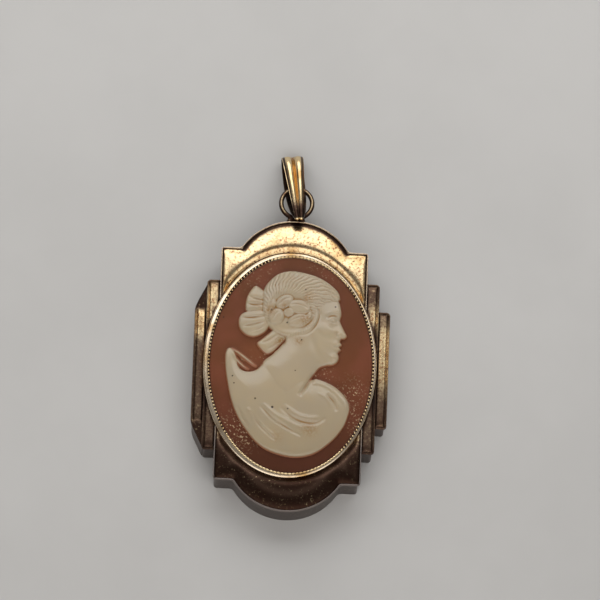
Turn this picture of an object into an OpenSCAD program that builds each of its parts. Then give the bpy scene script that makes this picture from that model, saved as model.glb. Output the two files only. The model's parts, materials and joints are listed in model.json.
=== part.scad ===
// Oval shell cameo pendant in a stamped, stepped metal frame, lying on its back.
// The origin is below the middle of the stone, in the plane of the frame's back rim.
// +Z points out of the face, +Y towards the bail.

/* [Stone] */
// Width of the oval stone
cameo_w = 18; // [16:0.25:20]
// Length of the oval stone
cameo_l = 25; // [23:0.25:28]
// Thickness of the stone at its edge
cameo_edge = 0.55; // [0.4:0.05:0.8]
// Rise of the stone's ground from its edge to its middle
cameo_dome = 0.3; // [0.1:0.05:0.5]
// Height of the carved figure above the ground
relief_h = 0.95; // [0.5:0.05:1.4]

/* [Bezel] */
// Thickness of the bezel's wall
bezel_wall = 0.2; // [0.15:0.05:0.4]
// Width of the turned-over lip that covers the stone's edge
bezel_lip = 0.38; // [0.3:0.02:0.8]
// Width of the ledge that the stone sits on
bezel_seat = 1.2; // [0.8:0.1:2]
// Thickness of that ledge
bezel_floor = 0.25; // [0.2:0.05:0.4]
// Height of the rounded lip above the stone's edge
lip_h = 0.26; // [0.2:0.02:0.4]

/* [Frame] */
// Height of the main panel's rim above the back
rim_z = 3.65; // [3.4:0.05:4.5]
// Height of the ledge that carries the bezel
ledge_z = 2.8; // [2.6:0.05:3]
// Thickness of that ledge
ledge_t = 0.55; // [0.4:0.05:0.8]
// Thickness of the frame's walls
wall = 0.5; // [0.3:0.05:0.7]
// Width of the moulding between the bezel and the end of each lobe
lobe_margin = 3.67; // [3:0.05:4.5]
// Distance from a lobe's end back to the shoulders
shoulder_drop = 3.28; // [2.5:0.1:4]
// Length of each straight shoulder
shoulder_w = 2.12; // [1.6:0.1:3]
// Distance from the bezel's outside in to the panel's sides
panel_tuck = 1.4; // [1.1:0.02:1.6]
// Rise of the rounded moulding above the rim
roll_h = 0.4; // [0.1:0.05:0.6]
// Distance from the rim in to the crest of the moulding
crest_in = 2; // [1.6:0.05:2.1]
// Width of the flat land along every rim
land_w = 0.14; // [0.1:0.01:0.25]
// Depth of the crease inside that land
crease = 0.12; // [0.06:0.02:0.2]
// Distance that the rims stand out over the walls
overhang = 0.22; // [0.1:0.01:0.3]
// Thickness of the overhanging rim's edge
rim_t = 0.35; // [0.25:0.05:0.5]
// Distance from the panel's sides in to the window in the back
window_side = 2.2; // [2.15:0.05:2.6]
// Distance from the bezel's outside in to the ends of that window
window_end = 1.9; // [1.6:0.1:2.4]

/* [Side bars] */
// Width of the inner bars
inner_bar_w = 1.35; // [1.1:0.05:1.8]
// Half the length of the inner bars
inner_bar_l = 9.6; // [8.5:0.1:11]
// Height of the inner bars' rims
inner_bar_z = 3.35; // [3:0.05:3.4]
// Width of the outer bars
outer_bar_w = 1.22; // [1:0.02:1.6]
// Half the length of the outer bars
outer_bar_l = 6.6; // [5:0.1:7.5]
// Height of the outer bars' rims
outer_bar_z = 3.05; // [2.7:0.05:3.1]
// Rise of the rounded face of each bar above its rim
bar_roll = 0.17; // [0.05:0.01:0.18]
// How far each slanted end of the left outer bar rises, from its rim to just inside the inner bar's rim
slant = 2.75; // [0.5:0.05:2.75]
// Cut corner at the outer ends of the square bars
bar_corner = 0.3; // [0.1:0.05:0.4]
// Distance that the right bars sit towards the bail, and the left ones away from it
bar_stagger = 0.15; // [0:0.05:0.2]

/* [Hanging ring] */
// Radius of the ring to the middle of its wire
ring_r = 1.65; // [1.4:0.05:2]
// Thickness of the ring's wire
ring_wire = 0.5; // [0.4:0.05:0.6]
// Height of the ring's wire above the back
ring_z = 2.9; // [2.6:0.05:3.2]
// Gap between the lobe's end and the ring's wire
ring_gap = 0.6; // [0.4:0.05:0.9]
// Width of the solder foot at the lobe
foot_w = 2.9; // [2.4:0.1:3.4]
// Width of the solder foot at the ring
foot_tip_w = 1.8; // [1.4:0.1:2.2]
// Depth that the solder foot reaches into the lobe's wall
foot_in = 0.35; // [0.2:0.05:0.45]

/* [Bail] */
// Reach of the bail beyond the ring's wire, away from the pendant
bail_up = 4.9; // [4.5:0.1:5.2]
// Reach of the bail inside the ring, towards the pendant
bail_down = 4.8; // [4.2:0.1:4.9]
// Distance between the middles of the bail's front and back bands
bail_depth = 2.05; // [1.9:0.05:2.2]
// Width of the bail at its top
bail_top_w = 2.3; // [2:0.05:2.6]
// Width of the bail at its tip
bail_tip_w = 0.9; // [0.8:0.05:1.2]
// Thickness of the bail's band in its groove
bail_band = 0.24; // [0.2:0.02:0.3]
// Height of the two rounded ridges above the groove
bail_ridge = 0.24; // [0.1:0.02:0.3]
// Droop of the bail at rest, so that its top lies on the table
bail_droop = 28; // [26:0.1:28]
// Lean of the bail to the left round the ring
bail_lean = 6; // [0:0.1:10]

/* [Hidden] */

// Running gap between pieces that seat on each other
fit_gap = 0.05;
// A depth below the back that clears every cut
below = 1;
// Number of flats round each oval
oval_sides = 88;
// Points along each side and round each lobe of the panel's outline
side_steps = 14;
lobe_steps = 20;
// How much the bail's loop narrows towards its tip
bail_pinch = 0.5;
// How late the bail's band tapers
bail_taper = 1.5;
// Share of the ridges' height that is left at the bail's tip
bail_fade = 0.2;

// Half sizes of the stone and of the bezel's outside
stone_a = cameo_w / 2;
stone_b = cameo_l / 2;
bezel_grow = fit_gap + bezel_wall;
cup_a = stone_a + bezel_grow;
cup_b = stone_b + bezel_grow;

// Levels from the ledge up to the bezel's crest
bezel_base = ledge_z + fit_gap;
stone_base = bezel_base + bezel_floor + fit_gap;
stone_top = stone_base + cameo_edge;
lip_under = stone_top + fit_gap + 0.02;
bezel_top = stone_top + lip_h;

// Outline of the main panel
panel_a = cup_a - panel_tuck;
lobe_top = cup_b + lobe_margin;
shoulder_y = lobe_top - shoulder_drop;
lobe_chord = panel_a - shoulder_w;
lobe_r = (pow(lobe_chord, 2) + pow(shoulder_drop, 2)) / (2 * shoulder_drop);
lobe_y = lobe_top - lobe_r;

// Inner edge of the ledge that carries the bezel
ledge_a = panel_a - window_side;
ledge_b = cup_b - window_end;

// Outer edges of the side bars
inner_bar_x = panel_a + inner_bar_w;
outer_bar_x = inner_bar_x + outer_bar_w;

// Middle of the hanging ring
ring_y = lobe_top + ring_gap + ring_r;

// Closed skin over a stack of equal rings of points, each joined to the next and the last to the first
module skin(rings) {
    rows = len(rings);
    cols = len(rings[0]);
    polyhedron(
        points = [for (r = rings) for (p = r) p],
        faces = [
            for (i = [0:rows - 1]) for (j = [0:cols - 1])
                let (a = i * cols + j, b = i * cols + (j + 1) % cols,
                     c = ((i + 1) % rows) * cols + (j + 1) % cols, d = ((i + 1) % rows) * cols + j)
                    each [[a, c, b], [a, d, c]]
        ]
    );
}

// Ring of points parallel to an ellipse, at a distance outside it and at a height
function oval_ring(a, b, out, z, count) = [
    for (i = [0:count - 1])
        let (t = 360 * i / count, n = [b * cos(t), a * sin(t)])
            [a * cos(t) + out * n[0] / norm(n), b * sin(t) + out * n[1] / norm(n), z]
];

// Flat oval at a distance outside an ellipse
module oval(a, b, out) {
    polygon([for (p = oval_ring(a, b, out, 0, oval_sides)) [p[0], p[1]]]);
}

// Points from p towards q, without q
function run(p, q, steps) = [for (i = [0:steps - 1]) p + (q - p) * i / steps];

// One half of the panel's outline moved inwards: right side, shoulder, top lobe, shoulder
function half_outline(inset) =
    let (x = panel_a - inset, y = shoulder_y - inset, r = lobe_r - inset,
         xj = sqrt(pow(r, 2) - pow(y - lobe_y, 2)), swing = atan2(xj, y - lobe_y))
        concat(
            run([x, -y], [x, y], side_steps),
            run([x, y], [xj, y], 3),
            [
                for (i = [0:lobe_steps - 1])
                    let (t = 90 - swing + 2 * swing * i / lobe_steps) [r * cos(t), lobe_y + r * sin(t)]
            ],
            run([-xj, y], [-x, y], 3)
        );

// Whole outline of the panel moved inwards
function outline(inset) = let (h = half_outline(inset)) concat(h, [for (p = h) -p]);

// Ring between the outline and the ledge's oval, at a share of the way and at a height
function panel_ring(share, inset, z) = [
    for (p = outline(inset))
        let (q = p / norm([p[0] / ledge_a, p[1] / ledge_b]), m = p + (q - p) * share) [m[0], m[1], z]
];

// The stamped panel as one bent sheet, from the foot of its wall over the moulding and back inside
module panel() {
    inside = overhang + wall;
    crest_z = rim_z + roll_h;
    // share of the way to the ledge's window, inset from the outline, height
    section = [
        [0, overhang, 0],
        [0, overhang, rim_z - rim_t],
        [0, 0, rim_z - rim_t],
        [0, 0, rim_z],
        [0, land_w, rim_z],
        [0, land_w * 1.6, rim_z - crease],
        [0, crest_in * 0.35, rim_z + roll_h * 0.35],
        [0, crest_in * 0.68, rim_z + roll_h * 0.84],
        [0, crest_in, crest_z],
        [0.2, crest_in, rim_z + roll_h * 0.7],
        [0.4, crest_in, (rim_z + bezel_base) / 2],
        [0.72, crest_in, ledge_z - ledge_t * 0.2],
        [0.72, crest_in, ledge_z - ledge_t * 0.8],
        [0.5, crest_in, ledge_z - ledge_t * 0.8],
        [0.1, crest_in, crest_z - wall - roll_h / 2],
        [0, inside, rim_z - wall - crease],
        [0, inside, 0]
    ];
    skin([for (s = section) panel_ring(s[0], s[1], s[2])]);
}

// Flat plate that carries the bezel, from the panel's walls in to the oval window
module ledge() {
    translate([0, 0, ledge_z - ledge_t]) linear_extrude(ledge_t + fit_gap) difference() {
        intersection() {
            polygon(outline(overhang + wall / 2));
            oval(cup_a, cup_b, wall);
        }
        oval(ledge_a, ledge_b, 0);
    }
}

// Side of a bar seen along its length: wall, overhanging land, crease and rounded face
function bar_section(x0, x1, z) = concat(
    [[x0, 0], [x1 - overhang, 0], [x1 - overhang, z - rim_t], [x1, z - rim_t], [x1, z], [x1 - land_w, z]],
    [
        for (i = [0:8])
            let (t = 180 * i / 8, half = (x1 - x0 - land_w * 1.6) / 2)
                [x0 + half + half * cos(t), z - crease / 2 + (bar_roll + crease / 2) * sin(t)]
    ]
);

// Long prism along Y from a section in X and Z
module along_y(section, half) {
    translate([0, half, 0]) rotate([90, 0, 0]) linear_extrude(2 * half) polygon(section);
}

// Where a bar starts, inside the wall of what it lies against
function tucked(x) = x - overhang - wall / 2;

// A side bar seen from above, with square ends whose corners are cut, or with ends that slant from its rim
// to under the rim of what it lies against
function bar_plan(x0, x1, half, extra) =
    let (end = extra > 0 ? [[tucked(x0), half + extra], [x0 - overhang / 2, half + extra], [x1, half]]
                         : [[tucked(x0), half], [x1 - bar_corner, half], [x1, half - bar_corner]])
        concat(end, [for (i = [2:-1:0]) [end[i][0], -end[i][1]]]);

// A side bar: its section run along its length and cut to its shape seen from above
module bar(x0, x1, z, half, extra) {
    intersection() {
        along_y(bar_section(tucked(x0), x1, z), half + extra);
        translate([0, 0, -below]) linear_extrude(z + 2 * below) polygon(bar_plan(x0, x1, half, extra));
    }
}

// Hollow under a bar, open to the back and to the hollow beside it, and closed under the bezel's recess
module bar_hollow(x0, x1, z, half) {
    roof = min(z, ledge_z) - wall;
    translate([x0, -half + wall, -below]) cube([x1 - overhang - wall - x0, 2 * (half - wall), below + roof]);
}

// Both bars of one side
module bars(extra) {
    bar(panel_a, inner_bar_x, inner_bar_z, inner_bar_l, 0);
    bar(inner_bar_x, outer_bar_x, outer_bar_z, outer_bar_l, extra);
}

// Hollows under both bars of one side
module bar_hollows() {
    bar_hollow(panel_a - overhang - 2 * wall, inner_bar_x, inner_bar_z, inner_bar_l);
    bar_hollow(inner_bar_x - overhang - 2 * wall, outer_bar_x, outer_bar_z, outer_bar_l);
}

// Places what belongs to the right bars, or to the left ones as their mirror image
module beside(left) {
    translate([0, left ? -bar_stagger : bar_stagger, 0]) mirror([left ? 1 : 0, 0, 0]) children();
}

// Wire ring soldered to the end of the top lobe
module hanging_ring() {
    foot_y = lobe_top - overhang - foot_in;
    translate([0, ring_y, ring_z])
        rotate_extrude($fn = 48) translate([ring_r, 0]) circle(d = ring_wire, $fn = 16);
    translate([0, 0, ring_z - ring_wire / 2]) linear_extrude(ring_wire)
        polygon([[-foot_w / 2, foot_y], [foot_w / 2, foot_y],
                 [foot_tip_w / 2, ring_y - ring_r], [-foot_tip_w / 2, ring_y - ring_r]]);
}

// Oval recess that the bezel drops into, down to the ledge
module bezel_recess() {
    translate([0, 0, ledge_z]) linear_extrude(rim_z) oval(cup_a, cup_b, fit_gap);
}

module frame() {
    color("#a98242") {
        difference() {
            union() {
                panel();
                ledge();
                beside(false) bars(0);
                beside(true) bars(slant);
            }
            beside(false) bar_hollows();
            beside(true) bar_hollows();
            bezel_recess();
        }
        hanging_ring();
    }
}

module bezel() {
    // distance outside the stone's edge, height
    section = [
        [bezel_grow, bezel_base],
        [bezel_grow, bezel_base + bezel_floor],
        [fit_gap + bezel_wall / 2, bezel_top - lip_h * 0.6],
        [-bezel_lip * 0.1, bezel_top - lip_h * 0.2],
        [-bezel_lip * 0.4, bezel_top],
        [-bezel_lip * 0.8, bezel_top - lip_h * 0.15],
        [-bezel_lip, lip_under],
        [fit_gap, lip_under],
        [fit_gap, bezel_base + bezel_floor],
        [-bezel_seat, bezel_base + bezel_floor],
        [-bezel_seat, bezel_base]
    ];
    color("#c9a566") skin([for (s = section) oval_ring(stone_a, stone_b, s[0], s[1], oval_sides)]);
}

// Carved masses of the figure. Columns: middle across as a share of the stone's half width, middle up as a
// share of its half length, half length and half width as shares of its half width, turn, share of the relief
masses = [
    [-0.02, -0.4, 0.72, 0.62, -12, 0.72],   // chest and shoulders
    [-0.48, -0.24, 0.36, 0.3, 60, 0.66],    // far shoulder
    [0.01, -0.02, 0.56, 0.28, 104, 0.78],   // neck
    [0.1, 0.51, 0.48, 0.46, 0, 0.92],       // hair over the crown
    [0.3, 0.34, 0.46, 0.27, 84, 0.84],      // cheek and temple
    [0.23, 0.19, 0.3, 0.24, 25, 0.8],       // jaw
    [0.57, 0.34, 0.13, 0.06, -52, 0.62],    // nose
    [0.5, 0.22, 0.09, 0.08, 0, 0.6],        // lips
    [0.43, 0.09, 0.1, 0.09, 0, 0.66],       // chin
    [-0.06, 0.49, 0.19, 0.17, 20, 1],       // knot of hair
    [0.2, 0.38, 0.16, 0.11, -30, 0.96],     // front loop of hair
    [-0.22, 0.4, 0.14, 0.13, 0, 0.9],       // back loop of hair
    [-0.45, 0.53, 0.2, 0.15, 80, 0.62],     // upper bow
    [-0.46, 0.37, 0.2, 0.15, -10, 0.6],     // lower bow
    [-0.31, 0.19, 0.16, 0.1, 40, 0.42],     // tail of the ribbon
    [-0.66, 0, 0.22, 0.11, -42, 0.5],       // raised edge of the drape
    [0.44, -0.24, 0.34, 0.12, -24, 0.8]     // roll of cloth on the near shoulder
];

// Folds of the drape added to the masses, in the same columns
folds = [
    [-0.38, -0.5, 0.4, 0.035, -52, 0.1],
    [-0.2, -0.55, 0.48, 0.035, -34, 0.12],
    [0.05, -0.6, 0.5, 0.035, -18, 0.1],
    [0.3, -0.5, 0.3, 0.035, 12, 0.1],
    [0.42, -0.34, 0.24, 0.03, -38, 0.08]
];

// Squared distance from a mass's middle, 1 at its edge
function mass_reach(m, x, y) =
    let (dx = x - m[0] * stone_a, dy = y - m[1] * stone_b,
         along = dx * cos(m[4]) + dy * sin(m[4]), across = dy * cos(m[4]) - dx * sin(m[4]))
        pow(along / (m[2] * stone_a), 2) + pow(across / (m[3] * stone_a), 2);

function total(list) = list * [for (v = list) 1];

// Height of the carving above the ground
function relief(x, y) =
    let (body = max([for (m = masses) let (q = mass_reach(m, x, y)) q < 1 ? m[5] * pow(1 - q, 0.45) : 0]),
         fold = total([for (m = folds) let (q = mass_reach(m, x, y)) q < 1 ? m[5] * pow(1 - q, 2) : 0]))
        relief_h * (body > 0 ? body + fold : 0);

module cameo() {
    nu = 50;
    nv = 64;
    // Grid that fills the oval, with its outer cells along the edge
    face_points = [
        for (j = [0:nv]) for (i = [0:nu])
            let (u = 2 * i / nu - 1, v = 2 * j / nv - 1,
                 sx = u * sqrt(1 - v * v / 2), sy = v * sqrt(1 - u * u / 2),
                 x = stone_a * sx, y = stone_b * sy)
                [x, y, stone_top + cameo_dome * max(0, 1 - sx * sx - sy * sy) + relief(x, y)]
    ];
    // Indices of the edge, counter-clockwise
    rim = concat(
        [for (i = [0:nu - 1]) i],
        [for (j = [0:nv - 1]) j * (nu + 1) + nu],
        [for (i = [nu:-1:1]) nv * (nu + 1) + i],
        [for (j = [nv:-1:1]) j * (nu + 1)]
    );
    count = len(rim);
    start = len(face_points);
    // The back follows the same edge and is hollowed a little towards the middle
    back_shares = [1, 0.66, 0.33];
    back_points = [
        for (s = back_shares) for (k = rim)
            let (p = face_points[k]) [p[0] * s, p[1] * s, stone_base + cameo_dome * (1 - s * s)]
    ];
    middle = start + len(back_points);
    color("#d8cdb0") polyhedron(
        points = concat(face_points, back_points, [[0, 0, stone_base + cameo_dome]]),
        faces = concat(
            [
                for (j = [0:nv - 1]) for (i = [0:nu - 1])
                    let (a = j * (nu + 1) + i, b = a + 1, c = b + nu + 1, d = a + nu + 1)
                        each [[a, c, b], [a, d, c]]
            ],
            [
                for (k = [0:count - 1])
                    let (n = (k + 1) % count)
                        each [[rim[k], rim[n], start + n], [rim[k], start + n, start + k]]
            ],
            [
                for (s = [0:len(back_shares) - 2]) for (k = [0:count - 1])
                    let (n = (k + 1) % count, a = start + s * count)
                        each [[a + k, a + n, a + count + n], [a + k, a + count + n, a + count + k]]
            ],
            [
                for (k = [0:count - 1])
                    let (n = (k + 1) % count, a = start + (len(back_shares) - 1) * count)
                        [a + k, a + n, middle]
            ]
        )
    );
}

// Half of the band's section across its width. Columns: share of the half width, share of the ridge's height
bail_profile = [[1, 0], [0.88, 0.6], [0.62, 1], [0.34, 0.55], [0, 0.1]];

// Widest swing of the bail's loop from its middle plane, before it is scaled to the depth
bail_swell = max([for (t = [0:3:180]) sin(t) * (1 + bail_pinch * cos(t))]);

// Section of the band at an angle round the loop, 0 at the top and 180 at the tip
function bail_section(t) =
    let (reach = (bail_up + bail_down - bail_band) / 2, lift = (bail_up - bail_down) / 2,
         swing = bail_depth / 2 / bail_swell,
         y = lift + reach * cos(t), z = swing * sin(t) * (1 + bail_pinch * cos(t)),
         dy = -reach * sin(t), dz = swing * (cos(t) + bail_pinch * cos(2 * t)),
         n = [dz, -dy] / norm([dz, dy]),
         half = bail_top_w / 2 - (bail_top_w - bail_tip_w) / 2 * pow((1 - cos(t)) / 2, bail_taper),
         ridge = bail_ridge * (bail_fade + (1 - bail_fade) * (1 + cos(t)) / 2),
         outer = [for (p = bail_profile) [p[0] * half, bail_band / 2 + ridge * p[1]]],
         mirrored = [for (i = [len(outer) - 2:-1:0]) [-outer[i][0], outer[i][1]]],
         inner = [[-half, -bail_band / 2], [half, -bail_band / 2]])
        [for (p = concat(outer, mirrored, inner)) [p[0], y + n[0] * p[1], z + n[1] * p[1]]];

module bail() {
    steps = 48;
    color("#b98a3c")
        translate([0, ring_y, ring_z]) rotate([0, 0, bail_lean])
            translate([0, ring_r, 0]) rotate([-bail_droop, 0, 0])
                skin([for (i = [0:steps - 1]) bail_section(360 * i / steps)]);
}

frame();
bezel();
cameo();
bail();
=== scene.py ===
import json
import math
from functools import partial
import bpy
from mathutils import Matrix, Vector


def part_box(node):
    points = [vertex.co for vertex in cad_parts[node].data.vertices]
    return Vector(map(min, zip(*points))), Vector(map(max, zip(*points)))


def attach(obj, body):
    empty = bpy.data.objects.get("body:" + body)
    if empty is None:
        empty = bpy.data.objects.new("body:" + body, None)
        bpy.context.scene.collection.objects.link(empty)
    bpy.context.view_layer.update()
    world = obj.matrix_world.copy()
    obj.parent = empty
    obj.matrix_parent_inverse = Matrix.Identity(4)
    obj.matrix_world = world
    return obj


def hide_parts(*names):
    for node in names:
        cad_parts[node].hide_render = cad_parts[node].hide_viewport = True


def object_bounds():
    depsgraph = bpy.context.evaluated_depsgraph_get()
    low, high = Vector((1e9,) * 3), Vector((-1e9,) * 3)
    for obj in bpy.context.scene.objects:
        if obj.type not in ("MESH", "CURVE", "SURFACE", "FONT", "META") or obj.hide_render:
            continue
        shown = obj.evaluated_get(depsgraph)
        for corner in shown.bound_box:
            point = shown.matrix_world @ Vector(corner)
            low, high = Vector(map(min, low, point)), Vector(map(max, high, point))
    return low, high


bl_info = {
    "name": "Cameo Pendant",
    "version": (1, 0, 0),
    "blender": (4, 5, 0),
    "location": "View3D > Sidebar > Pendant",
    "description": "Carves, mounts and finishes a shell cameo pendant on its packed model",
    "category": "Object",
}

import bmesh
import bpy
import numpy as np
from mathutils import Matrix, Vector

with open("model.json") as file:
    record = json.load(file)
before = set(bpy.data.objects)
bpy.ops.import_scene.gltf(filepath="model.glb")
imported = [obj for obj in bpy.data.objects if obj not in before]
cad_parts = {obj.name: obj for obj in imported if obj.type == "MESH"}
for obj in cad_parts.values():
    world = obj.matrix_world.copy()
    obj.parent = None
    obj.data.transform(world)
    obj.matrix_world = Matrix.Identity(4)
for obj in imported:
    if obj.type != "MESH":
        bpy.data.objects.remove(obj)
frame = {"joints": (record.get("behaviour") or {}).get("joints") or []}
CAD_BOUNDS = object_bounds()

# Everything below is worked out in millimetres and written to the meshes in metres.
MM = 0.001
PENDANT, BAIL = "pendant", "bail"


def box_mm(node):
    low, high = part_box(node)
    return np.array(low) / MM, np.array(high) / MM


STONE_LOW, STONE_HIGH = box_mm("cameo")
BEZEL_LOW, BEZEL_HIGH = box_mm("bezel")
STONE_A, STONE_B = STONE_HIGH[0], STONE_HIGH[1]
CUP_A, CUP_B = BEZEL_HIGH[0], BEZEL_HIGH[1]
SWING = frame["joints"][0]
PIVOT = np.array(SWING["pos_m"]) / MM


def linear(hex_colour):
    """Linear RGB of an sRGB hex colour."""
    parts = [int(hex_colour[i:i + 2], 16) / 255 for i in (1, 3, 5)]
    return tuple(c / 12.92 if c <= 0.04045 else ((c + 0.055) / 1.055) ** 2.4 for c in parts)


def rgba(hex_colour):
    return (*linear(hex_colour), 1.0)


def colour_prop(name, description, hex_colour):
    return bpy.props.FloatVectorProperty(
        name=name, description=description, subtype="COLOR", size=3, min=0, max=1, default=linear(hex_colour)
    )


def length_prop(name, description, millimetres):
    return bpy.props.FloatProperty(
        name=name, description=description, subtype="DISTANCE", unit="LENGTH", min=0,
        default=millimetres * MM,
    )


class PENDANT_PG_sizes(bpy.types.PropertyGroup):
    rim_z: length_prop("Rim height", "Height of the main panel's rim above the back", 3.65)
    rim_t: length_prop("Rim edge", "Thickness of the overhanging rim's edge", 0.35)
    ledge_z: length_prop("Ledge height", "Height of the ledge that carries the bezel", 2.8)
    ledge_t: length_prop("Ledge thickness", "Thickness of that ledge", 0.55)
    wall: length_prop("Wall", "Thickness of the frame's walls", 0.5)
    overhang: length_prop("Overhang", "Distance that the rims stand out over the walls", 0.22)
    land: length_prop("Land", "Width of the flat land along every rim", 0.14)
    crease: length_prop("Crease", "Depth of the crease inside the land", 0.12)
    roll: length_prop("Roll", "Rise of the rounded moulding above the rim", 0.4)
    lobe_margin: length_prop("Lobe margin", "Width of the moulding at the end of each lobe", 3.67)
    shoulder_drop: length_prop("Shoulder drop", "Distance from a lobe's end back to the shoulders", 3.28)
    shoulder_w: length_prop("Shoulder", "Length of each straight shoulder", 2.12)
    panel_tuck: length_prop("Panel tuck", "Distance from the bezel's outside in to the panel's sides", 1.4)
    window_side: length_prop("Window side", "Distance from the panel's sides in to the back's window", 2.2)
    window_end: length_prop("Window end", "Distance from the bezel's outside in to the window's ends", 1.9)
    inner_bar_w: length_prop("Inner bar width", "Width of the inner bars", 1.35)
    inner_bar_l: length_prop("Inner bar half length", "Half the length of the inner bars", 9.6)
    inner_bar_z: length_prop("Inner bar height", "Height of the inner bars' rims", 3.35)
    outer_bar_w: length_prop("Outer bar width", "Width of the outer bars", 1.22)
    outer_bar_l: length_prop("Outer bar half length", "Half the length of the outer bars", 6.6)
    outer_bar_z: length_prop("Outer bar height", "Height of the outer bars' rims", 3.05)
    bar_roll: length_prop("Bar roll", "Rise of the rounded face of each bar above its rim", 0.17)
    bar_corner: length_prop("Bar corner", "Radius of the bars' outer corners", 0.42)
    stagger: length_prop("Stagger", "Shift of the right bars towards the bail, the left ones away", 0.15)
    slant: length_prop("Slant", "Rise of the left outer bar's slanted ends towards the inner bar", 2.75)
    ring_r: length_prop("Ring radius", "Radius of the hanging ring to the middle of its wire", 1.65)
    ring_wire: length_prop("Ring wire", "Thickness of the ring's wire", 0.5)
    ring_gap: length_prop("Ring gap", "Gap between the lobe's end and the ring's wire", 0.6)
    bezel_lip: length_prop("Bezel lip", "Width of the lip over the stone's edge", 0.38)
    bezel_seat: length_prop("Bezel seat", "Width of the ledge that the stone sits on", 1.2)
    bezel_drift: length_prop("Bezel drift", "How much wider the bezel's band is on the left", 0.12)
    bead_pitch: length_prop("Bead pitch", "Distance from one milled bead to the next", 0.4)
    bead_size: length_prop("Bead size", "Width of a milled bead", 0.22)
    bail_up: length_prop("Bail reach up", "Reach of the bail beyond the ring's wire", 4.9)
    bail_down: length_prop("Bail reach down", "Reach of the bail inside the ring", 4.8)
    bail_depth: length_prop("Bail depth", "Distance between the bail's front and back bands", 2.05)
    bail_top_w: length_prop("Bail top width", "Width of the bail at its top", 2.3)
    bail_tip_w: length_prop("Bail tip width", "Width of the bail at its tip", 0.9)
    bail_band: length_prop("Bail band", "Thickness of the bail's band in its groove", 0.24)
    bail_ridge: length_prop("Bail ridge", "Height of the bail's two ridges", 0.24)
    bail_droop: bpy.props.FloatProperty(
        name="Bail droop", description="Droop of the bail's top towards the table at rest", unit="ROTATION",
        default=math.radians(28),
    )


class PENDANT_PG_colours(bpy.types.PropertyGroup):
    gold: colour_prop("Gold", "Rolled gold where it is rubbed bright", "#EBD2A4")
    gold_warm: colour_prop("Warm gold", "Rolled gold in the hollows, where it is seldom rubbed", "#B8935F")
    patina: colour_prop("Patina", "Brown tarnish speckled over the gold", "#59443A")
    wall_metal: colour_prop("Wall metal", "Dull greyish metal of the rims and the outer walls", "#9C928D")
    bezel_gold: colour_prop("Bezel gold", "Paler gold of the bezel strip", "#E8D6BC")
    shell_ivory: colour_prop("Ivory", "White outer layer of the shell", "#B6A588")
    shell_ground: colour_prop("Ground", "Brown inner layer of the shell", "#693A1C")
    stain: colour_prop("Stain", "Yellow-brown dirt in the carving's recesses", "#96703C")
    paper: colour_prop("Paper", "Pale grey paper under the pendant", "#C9C8C6")


def sizes():
    """The lengths in millimetres and the angles in radians, by name, with the panel's outline worked out."""
    group = bpy.context.scene.pendant_sizes
    found = {}
    for prop in group.bl_rna.properties:
        if prop.identifier in ("rna_type", "name"):
            continue
        value = getattr(group, prop.identifier)
        found[prop.identifier] = value if prop.unit == "ROTATION" else value / MM
    # Half the panel's width and length, half the width of its lobes where they spring, and their radius
    drop = found["shoulder_drop"]
    found["side_x"] = CUP_A - found["panel_tuck"]
    found["lobe_end"] = CUP_B + found["lobe_margin"]
    found["chord"] = found["side_x"] - found["shoulder_w"]
    found["lobe_r"] = (found["chord"] ** 2 + drop ** 2) / (2 * drop)
    return found


def colour(name):
    return (*getattr(bpy.context.scene.pendant_colours, name), 1.0)


# Mesh helpers

def smoothstep(low, high, value):
    t = np.clip((value - low) / (high - low), 0, 1)
    return t * t * (3 - 2 * t)


def mesh_object(name, points, faces, material, sharp_deg=40):
    """A closed mesh object from points in millimetres, with its faces turned outwards."""
    points = np.asarray(points, float)
    mesh = bpy.data.meshes.new(name)
    mesh.from_pydata((points * MM).tolist(), [], [list(f) for f in faces])
    mesh.validate()
    if signed_volume(mesh) < 0:
        mesh.flip_normals()
    mesh.materials.append(material)
    mesh.shade_smooth()
    mesh.set_sharp_from_angle(angle=math.radians(sharp_deg))
    thing = bpy.data.objects.new(name, mesh)
    bpy.context.scene.collection.objects.link(thing)
    return thing


def read(collection, name, kind=np.float32):
    """An array of one property of all vertices or triangles, three values for each."""
    flat = np.empty(len(collection) * 3, kind)
    collection.foreach_get(name, flat)
    return flat.reshape(-1, 3)


def signed_volume(mesh):
    mesh.calc_loop_triangles()
    places = read(mesh.vertices, "co")
    a, b, c = places[read(mesh.loop_triangles, "vertices", np.int32)].transpose(1, 0, 2).astype(float)
    return float((a * np.cross(b, c)).sum())


def loft_faces(rows, cols):
    """Quads that join equal closed rings, each to the next and the last to the first."""
    i, j = np.meshgrid(np.arange(rows), np.arange(cols), indexing="ij")
    n, m = (i + 1) % rows, (j + 1) % cols
    return np.stack([i * cols + j, i * cols + m, n * cols + m, n * cols + j], -1).reshape(-1, 4)


def loft(name, rings, material, sharp_deg=40):
    rings = np.asarray(rings, float)
    rows, cols = rings.shape[:2]
    return mesh_object(name, rings.reshape(-1, 3), loft_faces(rows, cols), material, sharp_deg)


def sheet_faces(rows, cols):
    """Quads of a grid of points, and the points round its edge in order."""
    index = np.arange(rows * cols).reshape(rows, cols)
    quads = np.stack([index[:-1, :-1], index[:-1, 1:], index[1:, 1:], index[1:, :-1]], -1).reshape(-1, 4)
    return quads, np.concatenate([index[0, :-1], index[:-1, -1], index[-1, :0:-1], index[:0:-1, 0]])


def at_height(flat, z):
    """Flat points with a height, or with a height each."""
    return np.column_stack([flat, np.broadcast_to(z, len(flat))])


def curve_between(a, b, c, d, t):
    """Places on a smooth curve from b to c that comes from a and goes on to d."""
    return 0.5 * (2 * b + (c - a) * t + (2 * a - 5 * b + 4 * c - d) * t ** 2
                  + (3 * b - a - 3 * c + d) * t ** 3)


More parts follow.
